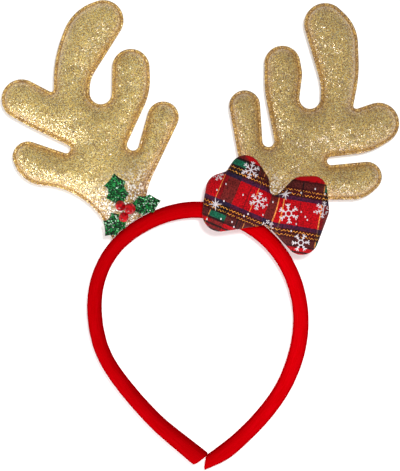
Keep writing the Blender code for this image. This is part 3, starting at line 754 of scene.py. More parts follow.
class Shading:
    """Node tree of one material, with short calls for the nodes that this scene uses."""

    def __init__(self, name):
        self.material = bpy.data.materials.new(name)
        self.material.use_nodes = True
        self.tree = self.material.node_tree
        shader = self.tree.nodes["Principled BSDF"]
        self.inputs = {socket.name.lower().replace(" ", "_"): socket for socket in shader.inputs}

    def add(self, kind, **settings):
        node = self.tree.nodes.new(kind)
        for key, value in settings.items():
            setattr(node, key, value)
        return node

    def put(self, value, socket):
        """Link a socket to an input, or set the input's own value."""
        if isinstance(value, bpy.types.NodeSocket):
            self.tree.links.new(value, socket)
        elif socket.type == "RGBA":
            socket.default_value = (*value, 1.0)
        else:
            socket.default_value = value

    def set(self, **values):
        """Set or link inputs of the shader, named in lower case."""
        for name, value in values.items():
            self.put(value, self.inputs[name])

    def place(self):
        return self.add("ShaderNodeTexCoord").outputs["Object"]

    def stored(self, name):
        return self.add("ShaderNodeAttribute", attribute_name=name).outputs["Fac"]

    def filled(self, node, values):
        for value, socket in zip(values, node.inputs):
            self.put(value, socket)
        return node.outputs[0]

    def sum(self, operation, *values):
        return self.filled(self.add("ShaderNodeMath", operation=operation), values)

    def vector(self, operation, *values):
        return self.filled(self.add("ShaderNodeVectorMath", operation=operation), values)

    def noise(self, where, size, detail=2.0):
        node = self.add("ShaderNodeTexNoise")
        self.put(where, node.inputs["Vector"])
        self.put(1.0 / size, node.inputs["Scale"])
        self.put(detail, node.inputs["Detail"])
        return node.outputs["Fac"]

    def cells(self, where, size):
        """Return a Voronoi pattern's own colour in each cell, and the distance from its middle."""
        node = self.add("ShaderNodeTexVoronoi")
        self.put(where, node.inputs["Vector"])
        self.put(1.0 / size, node.inputs["Scale"])
        return node.outputs["Color"], node.outputs["Distance"]

    def chance(self, cell):
        """Return a number from 0 to 1 for each cell."""
        return self.filled(self.add("ShaderNodeSeparateColor"), [cell])

    def ramp(self, fac, stops, kind="LINEAR"):
        node = self.add("ShaderNodeValToRGB")
        node.color_ramp.interpolation = kind
        elements = node.color_ramp.elements
        while len(elements) < len(stops):
            elements.new(0.5)
        for element, (place, colour) in zip(elements, stops):
            element.position = place
            element.color = (*colour, 1.0)
        self.put(fac, node.inputs["Fac"])
        return node.outputs["Color"]

    def fade(self, fac, start, low, end, high, kind="LINEAR"):
        """Return a grey that goes from low at start to high at end."""
        return self.ramp(fac, ((start, (low,) * 3), (end, (high,) * 3)), kind)

    def stripes(self, where, rows):
        """Return colours side by side over 0 to 1, from rows of a colour and its width."""
        widths = [width for _, width in rows]
        starts = np.cumsum([0.0] + widths[:-1]) / sum(widths)
        return self.ramp(where, [(start, row[0]) for start, row in zip(starts, rows)], "CONSTANT")

    def mix(self, fac, first, second, kind="MIX"):
        node = self.add("ShaderNodeMix", data_type="RGBA", blend_type=kind)
        self.put(fac, node.inputs[0])
        self.put(first, node.inputs[6])
        self.put(second, node.inputs[7])
        return node.outputs[2]

    def times(self, first, second):
        return self.mix(1.0, first, second, "MULTIPLY")

    def bump(self, height, distance, strength=1.0):
        node = self.add("ShaderNodeBump")
        self.put(distance, node.inputs["Distance"])
        self.put(strength, node.inputs["Strength"])
        self.put(height, node.inputs["Height"])
        return node.outputs["Normal"]


def flake_look(name, size, tilt, colours, metallic, roughness, gap_colour, glass, seam=None):
    """Return cloth covered in flakes, each with its own tilt and colour.

    Its glass is the index of the clear layer on the flakes, which gives white glints. The
    stops of seam tint it by the millimetres from its edge, partly with painted shade at the edge and in the
    stitch groove; with a seam the flakes also clump into painted glints near the edge, and take painted
    shade and glints near the seat on the band.
    """
    look = Shading(name)
    where = look.place()
    cell, from_middle = look.cells(where, size)
    tone = look.ramp(look.chance(cell), colours)
    tone = look.times(tone, look.fade(look.noise(where, FLAKE_PATCH_PITCH), 0.3, 0.84, 0.7, 1.12))
    clump = look.noise(where, FLAKE_CLUMP_PITCH, 1.0)
    mottle = look.fade(clump, 0.34, 0.76, 0.66, 1.16)
    tone = look.mix(look.fade(from_middle, 0.46, 0.0, 0.66, 1.0), tone, gap_colour)
    if seam is not None:
        tone = seat_shade_and_glints(look, where, tone)
        # Painted glints: near the seam the flakes clump into brown patches and bright patches that stand in
        # for glints.
        from_edge = look.stored("from_edge")
        by_seam = look.fade(look.sum("DIVIDE", from_edge, SEAM_GLINT_REACH), 0.2, 1.0, 1.0, 0.0)
        mottle = look.mix(by_seam, mottle, look.ramp(clump, SEAM_CLUMP_GLINTS))
        reach = seam[-1][0]
        stops = [(place / reach, colour) for place, colour in seam]
        tone = look.times(tone, look.ramp(look.sum("DIVIDE", from_edge, reach), stops))
    tone = look.times(tone, mottle)
    lean = look.vector("SUBTRACT", cell, (0.5, 0.5, 0.5))
    normal = look.add("ShaderNodeNewGeometry").outputs["Normal"]
    leaning = look.vector("ADD", normal, look.vector("MULTIPLY", lean, (tilt, tilt, tilt)))
    leaning = look.vector("NORMALIZE", leaning)
    look.set(base_color=tone, roughness=roughness, metallic=metallic, normal=leaning)
    look.set(coat_weight=1.0, coat_roughness=0.25, coat_ior=glass, coat_normal=leaning)
    return look.material


def seat_shade_and_glints(look, where, tone):
    """Return a tone darkened near the band, painted shade where the antler meets it, with large white
    flakes there as painted glints and large brown flakes.
    """
    # Painted shade darkens the tone near the seat on the band, and large white flakes there are painted
    # glints.
    from_seat = look.sum("DIVIDE", look.stored("from_seat"), SEAT_SHADE_REACH)
    seat_shade_share = look.fade(from_seat, 0.2, SEAT_SHADE, 1.0, 0.0, "EASE")
    tone = look.mix(seat_shade_share, tone, look.times(tone, SEAT_SHADE_TONE))
    chance = look.chance(look.cells(where, SEAT_FLAKE)[0])
    for operation, limit, colour in SEAT_GLINT_AND_BROWN_FLAKES:
        chosen = look.sum("MULTIPLY", look.sum(operation, chance, limit), seat_shade_share)
        tone = look.mix(chosen, tone, colour)
    return tone


def gold_look(name, shade):
    """Return gold flakes on brown cloth, with the whole tone scaled by shade: painted light and shade,
    which makes one antler a darker copy of the other.
    """
    colours = (
        (0.00, (0.240, 0.090, 0.010)),
        (0.12, (0.720, 0.420, 0.070)),
        (0.35, (0.960, 0.660, 0.140)),
        (0.80, (1.000, 0.800, 0.220)),
        # white flakes: painted glints
        (0.96, (1.000, 1.000, 0.700)),
    )
    colours = [(place, tuple(np.multiply(colour, shade))) for place, colour in colours]
    seam = (
        # mm from the edge, tint: darker at the very edge, partly the raw edge's brown and partly painted
        # shade; pale over the rim; darker along the stitch line, partly the cloth's own brown where the
        # stitches press it and partly painted shade in their groove
        (0.0, (0.50, 0.38, 0.26)),
        (0.25, (1.05, 0.98, 0.86)),
        (1.1, (1.12, 1.08, 1.02)),
        (1.6, (0.74, 0.60, 0.44)),
        (2.1, (1.06, 0.98, 0.86)),
        (4.5, (1.0, 1.0, 1.0)),
    )
    return flake_look(name, GOLD_FLAKE, 0.85, colours, 0.30, 0.34, (0.13, 0.048, 0.005), 2.05, seam)


def leaf_look():
    colours = (
        (0.00, (0.0005, 0.007, 0.002)),
        (0.38, (0.001, 0.036, 0.008)),
        (0.58, (0.006, 0.250, 0.050)),
        (0.90, (0.020, 0.440, 0.080)),
        # pale flakes: painted glints
        (0.98, (0.700, 1.000, 0.760)),
    )
    gap_colour = (0.0005, 0.024, 0.004)
    return flake_look("green_glitter_sheet", LEAF_FLAKE, 1.1, colours, 0.45, 0.24, gap_colour, 1.25)


def thread_look():
    look = Shading("brown_topstitch_thread")
    twist = look.noise(look.place(), 0.25 * MM)
    tone = look.ramp(twist, ((0.3, (0.220, 0.095, 0.020)), (0.7, (0.560, 0.340, 0.100))))
    look.set(base_color=tone, roughness=0.6, normal=look.bump(twist, 0.05 * MM))
    return look.material


def velvet_look():
    look = Shading("red_velvet")
    along, around = look.stored("nap_along"), look.stored("nap_around")
    flow = look.add("ShaderNodeCombineXYZ")
    flow = look.filled(flow, (look.sum("DIVIDE", along, NAP_LENGTH), look.sum("DIVIDE", around, NAP_WIDTH)))
    streaks = look.noise(flow, 1.0, 3.0)
    tone = look.ramp(streaks, ((0.32, (0.380, 0.0, 0.0006)), (0.68, (0.480, 0.0002, 0.003))))
    # Painted shade: the band turns darker towards both of its side walls.
    side = look.sum("DIVIDE", look.sum("ABSOLUTE", around), BAND_BREADTH / MM)
    tone = look.times(tone, look.fade(side, 0.72, 1.0, 0.98, 0.60))
    # Painted light and shade along the band: its left side darker, its right side lighter.
    tone = look.times(tone, look.ramp(look.sum("DIVIDE", along, BAND_ALONG), NAP_LIGHT_AND_SHADE))
    pile = look.noise(look.place(), 0.33 * MM)
    tone = look.times(tone, look.fade(pile, 0.30, 0.84, 0.70, 1.10))
    look.set(base_color=tone, roughness=0.95, specular_ior_level=0.0)
    look.set(sheen_weight=0.30, sheen_roughness=0.30, sheen_tint=(1.0, 0.0, 0.004))
    look.set(normal=look.bump(pile, 0.10 * MM, 0.7))
    return look.material


def tartan_look():
    look = Shading("red_tartan_cotton")
    across, up = look.stored("tartan_across"), look.stored("tartan_up")
    warp_place = look.sum("DIVIDE", look.sum("SUBTRACT", across, WARP_FROM), sum(row[2] for row in WARP))
    field = look.stripes(warp_place, [(THREADS[row[0]], row[2]) for row in WARP])
    border = look.stripes(warp_place, [(THREADS[row[1]], row[2]) for row in WARP])
    height = look.sum("ABSOLUTE", up)
    weft_place = look.sum("DIVIDE", height, sum(row[1] for row in WEFT_HALF))
    weft = look.stripes(weft_place, [(THREADS[row[0]], row[1]) for row in WEFT_HALF])
    weft_share = look.stripes(weft_place, [((row[2],) * 3, row[1]) for row in WEFT_HALF])
    bordered = look.stripes(weft_place, [((float(row[3]),) * 3, row[1]) for row in WEFT_HALF])
    warp = look.mix(bordered, field, border)

    lines = 0.0
    for _, middle, swing, pitch, thickness in ZIGZAGS:
        wave = look.sum("SUBTRACT", look.sum("PINGPONG", across, 0.5 * pitch), 0.25 * pitch)
        wave = look.sum("MULTIPLY", wave, 4.0 * swing / pitch)
        off = look.sum("ABSOLUTE", look.sum("SUBTRACT", look.sum("SUBTRACT", height, middle), wave))
        lines = look.sum("MAXIMUM", lines, look.sum("LESS_THAN", off, thickness))
    whole = look.sum("GREATER_THAN", look.noise(look.place(), 1.1 * MM), 0.43)
    lines = look.sum("MULTIPLY", lines, whole)
    weft = look.mix(lines, weft, look.mix(0.35, ZIGZAG_THREAD, warp, "ADD"))

    slope = look.sum("FRACT", look.sum("DIVIDE", look.sum("ADD", across, up), TWILL_PITCH))
    over = look.sum("SUBTRACT", look.sum("GREATER_THAN", slope, 0.5), 0.5)
    over = look.sum("MULTIPLY", over, TWILL_SHARE)
    share = look.sum("ADD", weft_share, look.sum("ADD", over, look.sum("MULTIPLY", lines, 0.3)))
    cloth = look.mix(look.sum("MINIMUM", share, 1.0), warp, weft)
    cloth = look.times(cloth, look.fade(look.noise(look.place(), 0.8 * MM, 4.0), 0.36, 0.40, 0.64, 1.25))
    cloth = look.mix(look.stored("tartan_plain"), cloth, THREADS["red"])
    threads = look.sum("SINE", look.sum("MULTIPLY", slope, math.tau))
    look.set(base_color=cloth, roughness=0.82, specular_ior_level=0.15)
    look.set(normal=look.bump(threads, 0.06 * MM, 0.6))
    return look.material


def print_look():
    look = Shading("white_snow_print")
    speck = look.noise(look.place(), 0.3 * MM)
    tone = look.ramp(speck, ((0.3, (0.42, 0.35, 0.38)), (0.7, (0.70, 0.66, 0.69))))
    look.set(base_color=tone, roughness=0.6, normal=look.bump(speck, 0.04 * MM, 0.6))
    return look.material


def berry_look():
    look = Shading("red_gloss_plastic")
    cloud = look.noise(look.place(), 1.6 * MM, 3.0)
    tone = look.ramp(cloud, ((0.35, (0.130, 0.0002, 0.002)), (0.62, (0.500, 0.0002, 0.004))))
    look.set(base_color=tone, roughness=0.35, specular_ior_level=0.0)
    look.set(coat_weight=1.0, coat_ior=1.45, coat_roughness=0.06)
    look.set(normal=look.bump(cloud, 0.20 * MM, 0.3))
    return look.material


# Band


def band_rows(count):
    """Return rows along the band in the frame: its centre line's two places and its breadth."""
    rows = []
    for _, across, up, breadth in BAND_ROUTE:
        height = up * (BAND_RISE if up > 0.0 else BAND_DROP)
        rows.append((across * BAND_HALF_WIDTH, height, breadth * BAND_BREADTH))
    rows = cubic_through(rows, count)
    outer = rows[:, :2] + to_the_left(directions(rows[:, :2])) * 0.5 * rows[:, 2:]
    low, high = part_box("headband")
    rows[:, 0] += low.x - outer[:, 0].min()
    rows[:, 1] += high.y - outer[:, 1].max()
    return rows


def band_fence(margin):
    """Return the closed line round the band's outer side, margin away from it."""
    rows = band_rows(900)
    outward = to_the_left(directions(rows[:, :2]))
    return rows[:, :2] + outward * (0.5 * rows[:, 2:] + margin)


def end_slant(slant_deg, run):
    return math.tan(math.radians(slant_deg)) * max(0.0, 1.0 - run / END_SLANT_LENGTH)


def end_ring(ring, away, inset, along):
    middle = ring.mean(axis=0)
    moved = middle + (ring - middle) * (1.0 - inset)
    moved[:, :2] += away * (along * END_ROUND + END_TOUCH)
    return moved


def dress_band():
    rows = band_rows(BAND_STATIONS)
    line = rows[:, :2]
    ahead = directions(line)
    outward = to_the_left(ahead)
    run = travelled(line)
    angles = math.tau * (np.arange(BAND_SIDES) + 0.5) / BAND_SIDES
    out, up = np.cos(angles), np.sin(angles)
    out = np.sign(out) * np.abs(out) ** BAND_SECTION_POWER
    up = np.sign(up) * np.abs(up) ** BAND_SECTION_POWER
    out, up = out / np.abs(out).max(), up / np.abs(up).max()
    seam = hump(angles - math.radians(SEAM_BEARING_DEG), math.radians(SEAM_SPREAD_DEG))
    rings = []
    for i in range(BAND_STATIONS):
        slant = end_slant(LEFT_END_SLANT_DEG, run[i])
        slant += end_slant(RIGHT_END_SLANT_DEG, run[-1] - run[i])
        ruffle = [noise.noise(Vector((run[i] / RUFFLE_PITCH, 1.5 * a, 3.0))) for a in angles]
        pull = NAP_DEPTH * (np.array(ruffle) - 1.0) - SEAM_GROOVE * seam
        side = out * (0.5 * rows[i, 2] + pull)
        flat = line[i] + side[:, None] * outward[i] + (side * slant)[:, None] * ahead[i]
        rise = up * (0.5 * BAND_DEPTH + pull)
        rings.append(np.column_stack((flat, rise + 0.5 * BAND_DEPTH)))
    left_cap = [end_ring(rings[0], -ahead[0], *row) for row in END_RINGS]
    right_cap = [end_ring(rings[-1], ahead[-1], *row) for row in END_RINGS]
    rings = left_cap[::-1] + rings + right_cap
    faces = tube(0, len(rings), BAND_SIDES)
    piece = mesh_piece("headband_velvet", np.vstack(rings), faces, velvet_look(), 70.0)
    along = np.concatenate((np.zeros(len(END_RINGS)), run, np.full(len(END_RINGS), run[-1])))
    store(piece, "nap_along", np.repeat(along / MM, BAND_SIDES))
    store(piece, "nap_around", np.tile(BAND_BREADTH / MM * out, len(rings)))
    hand_over(piece, "headband")


def hand_over(piece, node):
    """Attach a piece that stands for a node of the frame to the root, and hide the node."""
    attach(piece, "root")
    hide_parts(node)


# Antlers


def antler_place(rows, node):
    """Return where an antler's pattern has its seat, from its node's outermost side and top."""
    outline = belt(rows, ANTLER_HEIGHT, 0.0, RIM_STEP)
    low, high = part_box(node)
    if low.x < 0.0:
        return np.array((low.x - outline[:, 0].min(), high.y - outline[:, 1].max()))
    return np.array((high.x - outline[:, 0].max(), high.y - outline[:, 1].max()))


def dress_antler(rows, node, surface, thread, seed):
    place = antler_place(rows, node)
    fence = band_fence(BAND_GAP) - place
    wide_fence = band_fence(BAND_GAP + 0.7 * MM) - place
    edge = outside_run(belt(rows, ANTLER_HEIGHT, 0.0, RIM_STEP), fence)
    outline = without_repeats(np.vstack((edge, seat_shore(edge[-1], edge[0], fence))))
    rings = [belt(rows, ANTLER_HEIGHT, inset * MM, RIM_STEP) for inset in RING_INSETS]
    loose = hex_points(outline, PAD_GRID, RING_INSETS[-1] * MM + 0.6 * PAD_GRID)
    loose = loose[nearest(loose, segments(wide_fence))[0] > 0.5 * PAD_GRID]
    flat, faces = triangulate(outline, [(outside_run(ring, wide_fence), False) for ring in rings], loose)

    seams = seam_rows(belt(rows, ANTLER_HEIGHT, RIM_WIDTH, RIM_STEP))
    from_seam, along_seam = nearest(flat, seams)
    from_edge = nearest(flat, segments(edge, False))[0]
    from_band = nearest(flat, segments(fence, False))[0]
    on_pad = inside(flat, seams[:, :2])
    lift = np.where(on_pad, puff(flat, seams, PAD_RISE, PAD_REACH), 0.0)
    middle = 0.5 * RIM_THICKNESS + PAD_REST_SHARE * lift.max()
    ripple_place = np.column_stack((along_seam / PUCKER_PITCH, from_seam / (3.0 * PUCKER_PITCH)))
    ripple = PUCKER_DEPTH * wander(ripple_place, 1.0, seed) * np.exp(-from_seam / PUCKER_REACH)
    ripple = np.where(on_pad, ripple * np.minimum(1.0, from_seam / STUFFING_CAP), 0.0)
    lumps = LUMP_DEPTH * wander(flat, LUMP_PITCH, seed + 7.0) * np.minimum(1.0, lift / PAD_RISE)
    rim = 0.5 * RIM_THICKNESS * (0.35 + 0.65 * rounded(from_edge, RIM_ROUND))
    rim -= STITCH_VALLEY * hump(from_edge - STITCH_INSET, STITCH_VALLEY_REACH)
    tuck = 1.0 - TUCK_SHARE + TUCK_SHARE * rounded(from_band, TUCK_REACH)
    rise = rim + (lift + ripple + lumps) * tuck
    points, solid = two_sided(flat, faces, middle + rise, np.maximum(middle - rise, 0.0))
    held = ~on_pad | (from_seam < SEAM_HOLD) | (from_band < SEAT_HOLD)
    points = stuffed(points, solid, np.tile(held, 2))
    points[:, 2] = np.maximum(points[:, 2], 0.0)
    points[:, :2] += place
    piece = mesh_piece(node + "_cloth", points, solid, surface)
    store(piece, "from_edge", np.tile(from_edge / MM, 2))
    store(piece, "from_seat", np.tile(from_band / MM, 2))
    hand_over(piece, node)

    line = outside_run(belt(rows, ANTLER_HEIGHT, STITCH_INSET, RIM_STEP), wide_fence) + place
    stitches = stitch_piece(node + "_topstitch", line, middle, thread)
    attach(stitches, "root")


def seat_shore(start, end, fence):
    """Return the points on the fence between two places on it, evenly spaced."""
    first = int(np.hypot(*(fence - start).T).argmin())
    last = int(np.hypot(*(fence - end).T).argmin())
    line = np.vstack((start, fence[first + 1:last], end))
    count = max(3, round(np.hypot(*np.diff(line, axis=0).T).sum() / RIM_STEP) + 1)
    return spaced(line, count)[1:-1]


def stitch_piece(name, line, middle, thread):
    """Return short stitches along a line, on both faces of the rim, as one mesh."""
    run = travelled(line)
    rise = 0.5 * RIM_THICKNESS - STITCH_VALLEY + 0.5 * STITCH_RADIUS
    rings = []
    for side in (1.0, -1.0):
        turns = side * math.tau * np.arange(STITCH_SIDES) / STITCH_SIDES
        for k in range(int(run[-1] / STITCH_PITCH)):
            for along, drop, thick in STITCH_PROFILE:
                where = (k + 0.5) * STITCH_PITCH + along * STITCH_LENGTH
                here, there = ([np.interp(place, run, line[:, axis]) for axis in (0, 1)]
                               for place in (where, where + 0.1 * MM))
                ahead = np.subtract([there], [here])
                left = to_the_left(ahead / max(np.hypot(*ahead[0]), TINY))
                radius = STITCH_RADIUS * thick
                flat = here + left * radius * np.cos(turns)[:, None]
                height = rise + drop * STITCH_RADIUS + radius * side * np.sin(turns)
                rings.append(np.column_stack((flat, middle + side * height)))
    faces = []
    for first in range(0, len(rings), len(STITCH_PROFILE)):
        faces.extend(tube(first * STITCH_SIDES, len(STITCH_PROFILE), STITCH_SIDES))
    return mesh_piece(name, np.vstack(rings), faces, thread, 60.0)


# Bow


def bow_place():
    outline = belt(BOW, BOW_WIDTH, 0.0, BOW_STEP)
    low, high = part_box("bow")
    return np.array((low.x - outline[:, 0].min(), high.y - outline[:, 1].max()))


def tartan_places(flat):
    """Return how far along the warp and weft each point of the frame's plane lies, in mm."""
    away = flat / MM - np.array(TARTAN_MIDDLE)
    blend = np.clip((away[:, 0] - TURN_FROM) / (TURN_TO - TURN_FROM), 0.0, 1.0)
    blend = blend * blend * (3.0 - 2.0 * blend)
    return turned(away, LEFT_TURN_DEG + (RIGHT_TURN_DEG - LEFT_TURN_DEG) * blend)


def store(piece, name, values):
    layer = piece.data.attributes.new(name, "FLOAT", "POINT")
    layer.data.foreach_set("value", np.asarray(values, np.float32))


def dress_bow():
    place = bow_place()
    outline = belt(BOW, BOW_WIDTH, 0.0, BOW_STEP)
    runs = [(belt(BOW, BOW_WIDTH, inset * MM, BOW_STEP), True) for inset in BOW_INSETS]
    loose = hex_points(outline, BOW_GRID, BOW_INSETS[-1] * MM + 0.5 * BOW_GRID)
    flat, faces = triangulate(outline, runs, loose)
    creases = np.array([row[1:] for row in BOW_CREASES]) * BOW_WIDTH
    seams = np.vstack((seam_rows(outline), creases))
    from_edge, along_edge = nearest(flat, segments(outline))
    lift = np.where(from_edge > 0.02 * MM, puff(flat, seams, BOW_RISE, BOW_REACH), 0.0)

    from_pinch = np.hypot(*flat.T)
    bearing = np.arctan2(flat[:, 1], flat[:, 0])
    gather = [noise.noise(Vector((5.0 * math.cos(b), 5.0 * math.sin(b), r / GATHER_PITCH)))
              for b, r in zip(bearing, from_pinch)]
    gather = GATHER_DEPTH * np.array(gather) * np.exp(-from_pinch / GATHER_REACH)
    ripple_place = np.column_stack((along_edge / HEM_RIPPLE_PITCH, from_edge / (8.0 * MM)))
    ripple = HEM_RIPPLE_DEPTH * wander(ripple_place, 1.0, 21.0) * np.exp(-from_edge / HEM_RIPPLE_REACH)
    ripple *= np.minimum(1.0, from_edge / MM)
    lift = lift + (gather + ripple) * np.minimum(1.0, lift / (2.0 * MM))
    thick = 0.5 * BOW_EDGE * np.maximum(rounded(from_edge, BOW_EDGE_ROUND), BOW_LEAST_EDGE)
    points, solid = two_sided(flat, faces, thick + lift, -thick - BOW_BACK_SHARE * lift)
    held = (from_edge < BOW_EDGE_ROUND) | (np.abs(flat[:, 0]) < BOW_PINCH_HOLD)
    points = stuffed(points, solid, np.tile(held, 2))
    points[:, :2] += place
    points[:, 2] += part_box("bow")[1].z - points[:, 2].max()
    piece = mesh_piece("bow_cloth", points, solid, tartan_look(), 60.0)
    across, up = tartan_places(points[:, :2])
    store(piece, "tartan_across", across)
    store(piece, "tartan_up", up)
    store(piece, "tartan_plain", np.concatenate((plain_patches(flat), np.ones(len(flat)))))
    hand_over(piece, "bow")
    dress_print(BVHTree.FromPolygons([Vector(point) for point in points], solid), place)


def plain_patches(flat):
    """Return 1 where a hem without stripes is turned over to the front, and 0 elsewhere."""
    plain = np.zeros(len(flat))
    for _, across, up, wide, high, turn_deg in PLAIN_PATCHES:
        along, over = turned(flat / MM - np.array((across, up)), turn_deg)
        patch = 3.0 * (1.1 - (along / wide) ** 2 - (over / high) ** 2)
        plain = np.maximum(plain, np.clip(patch, 0.0, 1.0))
    return plain


def flake_strokes(kind, radius, turn_deg):
    """Return the strokes of a six or eight pointed flake about its middle."""
    strokes = []
    arms = 8 if kind == "star" else 6
    for arm in range(arms):
        angle = math.radians(turn_deg) + math.tau * arm / arms
        ahead = np.array((math.cos(angle), math.sin(angle)))
        reach = radius * (STAR_SHORT_ARM if kind == "star" and arm % 2 else 1.0)
        inner = WHEEL_SHARE * radius if kind == "wheel" else 0.0
        strokes.append((inner * ahead, reach * ahead))
        for along, length in FLAKE_BARBS[kind]:
            for side in (-1.0, 1.0):
                swing = angle + side * math.radians(BARB_SWING_DEG)
                barb = np.array((math.cos(swing), math.sin(swing)))
                root = along * radius * ahead
                strokes.append((root, root + length * radius * barb))
    return strokes


def dress_print(tree, place):
    """Lay the snow print's strokes, wheels and dots on the front of the bow as one mesh."""
    strokes = []
    for kind, across, up, radius, turn_deg, thick in FLAKES:
        middle = np.array((across, up))
        for start, end in flake_strokes(kind, radius, turn_deg):
            count = max(2, math.ceil(np.hypot(*(end - start)) / PRINT_STEP) + 1)
            run = middle + (start + np.linspace(0.0, 1.0, count)[:, None] * (end - start))
            taper = np.linspace(1.0, STAR_TIP if kind == "star" else 1.0, count)
            strokes.append((run, thick * taper, False))
        if kind == "wheel":
            turns = math.tau * np.arange(WHEEL_SIDES) / WHEEL_SIDES
            rim = middle + WHEEL_SHARE * radius * np.column_stack((np.cos(turns), np.sin(turns)))
            strokes.append((rim, np.full(WHEEL_SIDES, thick), True))
    for dot in DOTS:
        run = np.array(dot) + DOT_RADIUS * np.array(((-0.5, 0.0), (0.0, 0.0), (0.5, 0.0)))
        strokes.append((run, DOT_RADIUS * np.array((0.7, 1.0, 0.7)), False))
    points, faces = [], []
    for run, thick, closed in strokes:
        bar = laid_bar(tree, run * MM + place, thick * MM, closed)
        if bar is not None:
            faces.extend(tube(len(points), len(run), 4, closed))
            points.extend(bar)
    piece = mesh_piece("bow_snow_print", points, faces, print_look(), 60.0)
    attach(piece, "root")


def laid_bar(tree, run, thick, closed):
    """Return a low bar's points along a run, four a station, or None where it leaves the cloth."""
    ahead = np.roll(run, -1, axis=0) - np.roll(run, 1, axis=0) if closed else np.gradient(run, axis=0)
    left = to_the_left(ahead / np.hypot(*ahead.T)[:, None])
    points = []
    for here, side, half in zip(run, left, thick):
        for reach, level in BAR_SECTION:
            x, y = here + reach * half * side
            hit = tree.ray_cast(Vector((x, y, 1.0)), Vector((0.0, 0.0, -1.0)))[0]
            if hit is None:
                return None
            points.append((x, y, hit.z + level))
    return points


# Holly


def leaf_outline(length, left, right, waist):
    """Return a holly leaf's outline about its base, along +X, with hollows between spikes."""
    upper, lower = ([(0.0, LEAF_BASE_HALF * half), *((along, side * half) for along, side in LEAF_SPIKES)]
                    for half in (left, right))
    corners = [(x, -y) for x, y in lower] + [(1.0, 0.0)] + upper[::-1]
    points = []
    for here, there in zip(corners, corners[1:] + corners[:1]):
        points.extend(hollow_arc(here, there, waist))
    return np.array(points) * (length, 1.0)


def hollow_arc(here, there, waist):
    """Return points from one spike to the next along an arc that bows towards the midrib."""
    here, there = np.array(here), np.array(there)
    pull = np.array((0.0, -waist * 0.5 * (here[1] + there[1])))
    out = []
    for k in range(LEAF_ARC_STEPS):
        share = k / LEAF_ARC_STEPS
        out.append(here + (there - here) * share + 4.0 * share * (1.0 - share) * pull)
    return out


def dress_leaf(row, surface, seed):
    node, heading_deg, pitch_deg, length, left, right, waist = row
    length = length * LEAF_LENGTH
    left, right = left * LEAF_WIDTH, right * LEAF_WIDTH
    outline = leaf_outline(length, left, right, waist)
    flat, faces = triangulate(outline, [], hex_points(outline, LEAF_GRID, 0.5 * LEAF_GRID))
    fold = LEAF_VALLEY * (np.abs(flat[:, 1]) / (0.5 * LEAF_WIDTH)) ** LEAF_FOLD_POWER
    curl = LEAF_CURL * (flat[:, 0] / length) ** 2
    middle = fold + curl + flat[:, 0] * math.tan(math.radians(pitch_deg))
    veins = [(0.03 * length, 0.0, 0.95 * length, 0.0)]
    for share, side in LEAF_SPIKES:
        for width in (left, -right):
            veins.append(((share - 0.20) * length, 0.0, share * length, side * width * 0.92))
    from_vein = nearest(flat, np.array(veins))[0]
    from_edge = nearest(flat, segments(outline))[0]
    thick = 0.5 * LEAF_THICKNESS * (0.35 + 0.65 * np.minimum(1.0, from_edge / (0.5 * MM)))
    vein = VEIN_RISE * hump(from_vein, VEIN_REACH) * np.minimum(1.0, from_edge / (0.8 * MM))
    crumple = CRUMPLE_DEPTH * wander(flat, CRUMPLE_PITCH, seed)
    points, solid = two_sided(flat, faces, middle + thick + vein + crumple, middle - thick + 0.5 * crumple)
    points[:, :2] = np.column_stack(turned(points, -heading_deg))
    low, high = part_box(node)
    points += 0.5 * (np.array(low) + np.array(high)) - 0.5 * (points.min(axis=0) + points.max(axis=0))
    hand_over(mesh_piece(node + "_glitter", points, solid, surface), node)


def dress_berry(node, surface, seed):
    low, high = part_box(node)
    ball = bmesh.new()
    bmesh.ops.create_uvsphere(ball, u_segments=BERRY_SIDES, v_segments=BERRY_RINGS, radius=1.0)
    points = []
    for corner in ball.verts:
        dent = 1.0 + BERRY_DENT * noise.noise(corner.co * BERRY_DENTS + Vector((seed, 0.0, 0.0)))
        points.append(0.5 * (low + high) + corner.co * 0.5 * (high.z - low.z) * min(dent, 1.0))
    faces = [[corner.index for corner in face.verts] for face in ball.faces]
    ball.free()
    hand_over(mesh_piece(node + "_gloss", points, faces, surface, 80.0), node)


# Stage


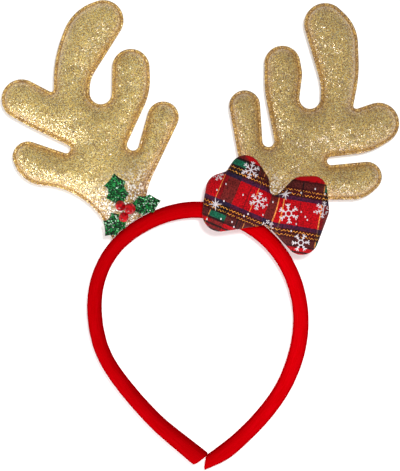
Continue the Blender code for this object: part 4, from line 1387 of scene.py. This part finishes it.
def area_light(name, place, size, power, shadow, glints):
    """Add a round lamp aimed at the middle of the floor, which may show in gloss or not."""
    data = bpy.data.lights.new(name, "AREA")
    data.shape = "DISK"
    data.size = size
    data.energy = power
    data.use_shadow = shadow
    lamp = bpy.data.objects.new(name, data)
    lamp.location = place
    lamp.visible_glossy = glints
    lamp.rotation_euler = (-Vector(place)).to_track_quat("-Z", "Y").to_euler()
    bpy.context.scene.collection.objects.link(lamp)


def set_stage():
    look = Shading("pale_floor")
    look.set(base_color=look.fade(look.noise(look.place(), 40.0 * MM), 0.3, 0.95, 0.7, 0.97), roughness=0.9)
    corners = [(x * FLOOR_HALF, y * FLOOR_HALF, 0.0) for x, y in ((-1, -1), (1, -1), (1, 1), (-1, 1))]
    floor = mesh_piece("floor", corners, [(0, 1, 2, 3)], look.material)
    floor.location.z = -FLOOR_DROP

    scene = bpy.context.scene
    scene.world = bpy.data.worlds.new("studio")
    scene.world.use_nodes = True
    sky = scene.world.node_tree.nodes["Background"]
    sky.inputs["Color"].default_value = (1.0, 1.0, 1.0, 1.0)
    sky.inputs["Strength"].default_value = WORLD_STRENGTH
    scene.view_settings.view_transform = "Standard"
    for row in LAMPS:
        area_light(*row)

    data = bpy.data.cameras.new("camera")
    data.lens = CAMERA_LENS
    data.sensor_width = CAMERA_SENSOR
    scene.camera = bpy.data.objects.new("camera", data)
    scene.camera.location = CAMERA_PLACE
    scene.collection.objects.link(scene.camera)


set_stage()
dress_band()
thread = thread_look()
# One gold look in two copies: the right antler's is darker, painted shade for the less light that falls on
# it.
left_gold_lit = gold_look("gold_glitter_left", (0.94, 0.94, 0.92))
right_gold_shaded = gold_look("gold_glitter_right", (0.72, 0.69, 0.62))
dress_antler(LEFT_ANTLER, "antler_left", left_gold_lit, thread, 1.0)
dress_antler(RIGHT_ANTLER, "antler_right", right_gold_shaded, thread, 4.0)
dress_bow()
green = leaf_look()
for number, row in enumerate(LEAVES):
    dress_leaf(row, green, 10.0 + number)
red_gloss = berry_look()
for number, node in enumerate(BERRIES):
    dress_berry(node, red_gloss, 30.0 + number)
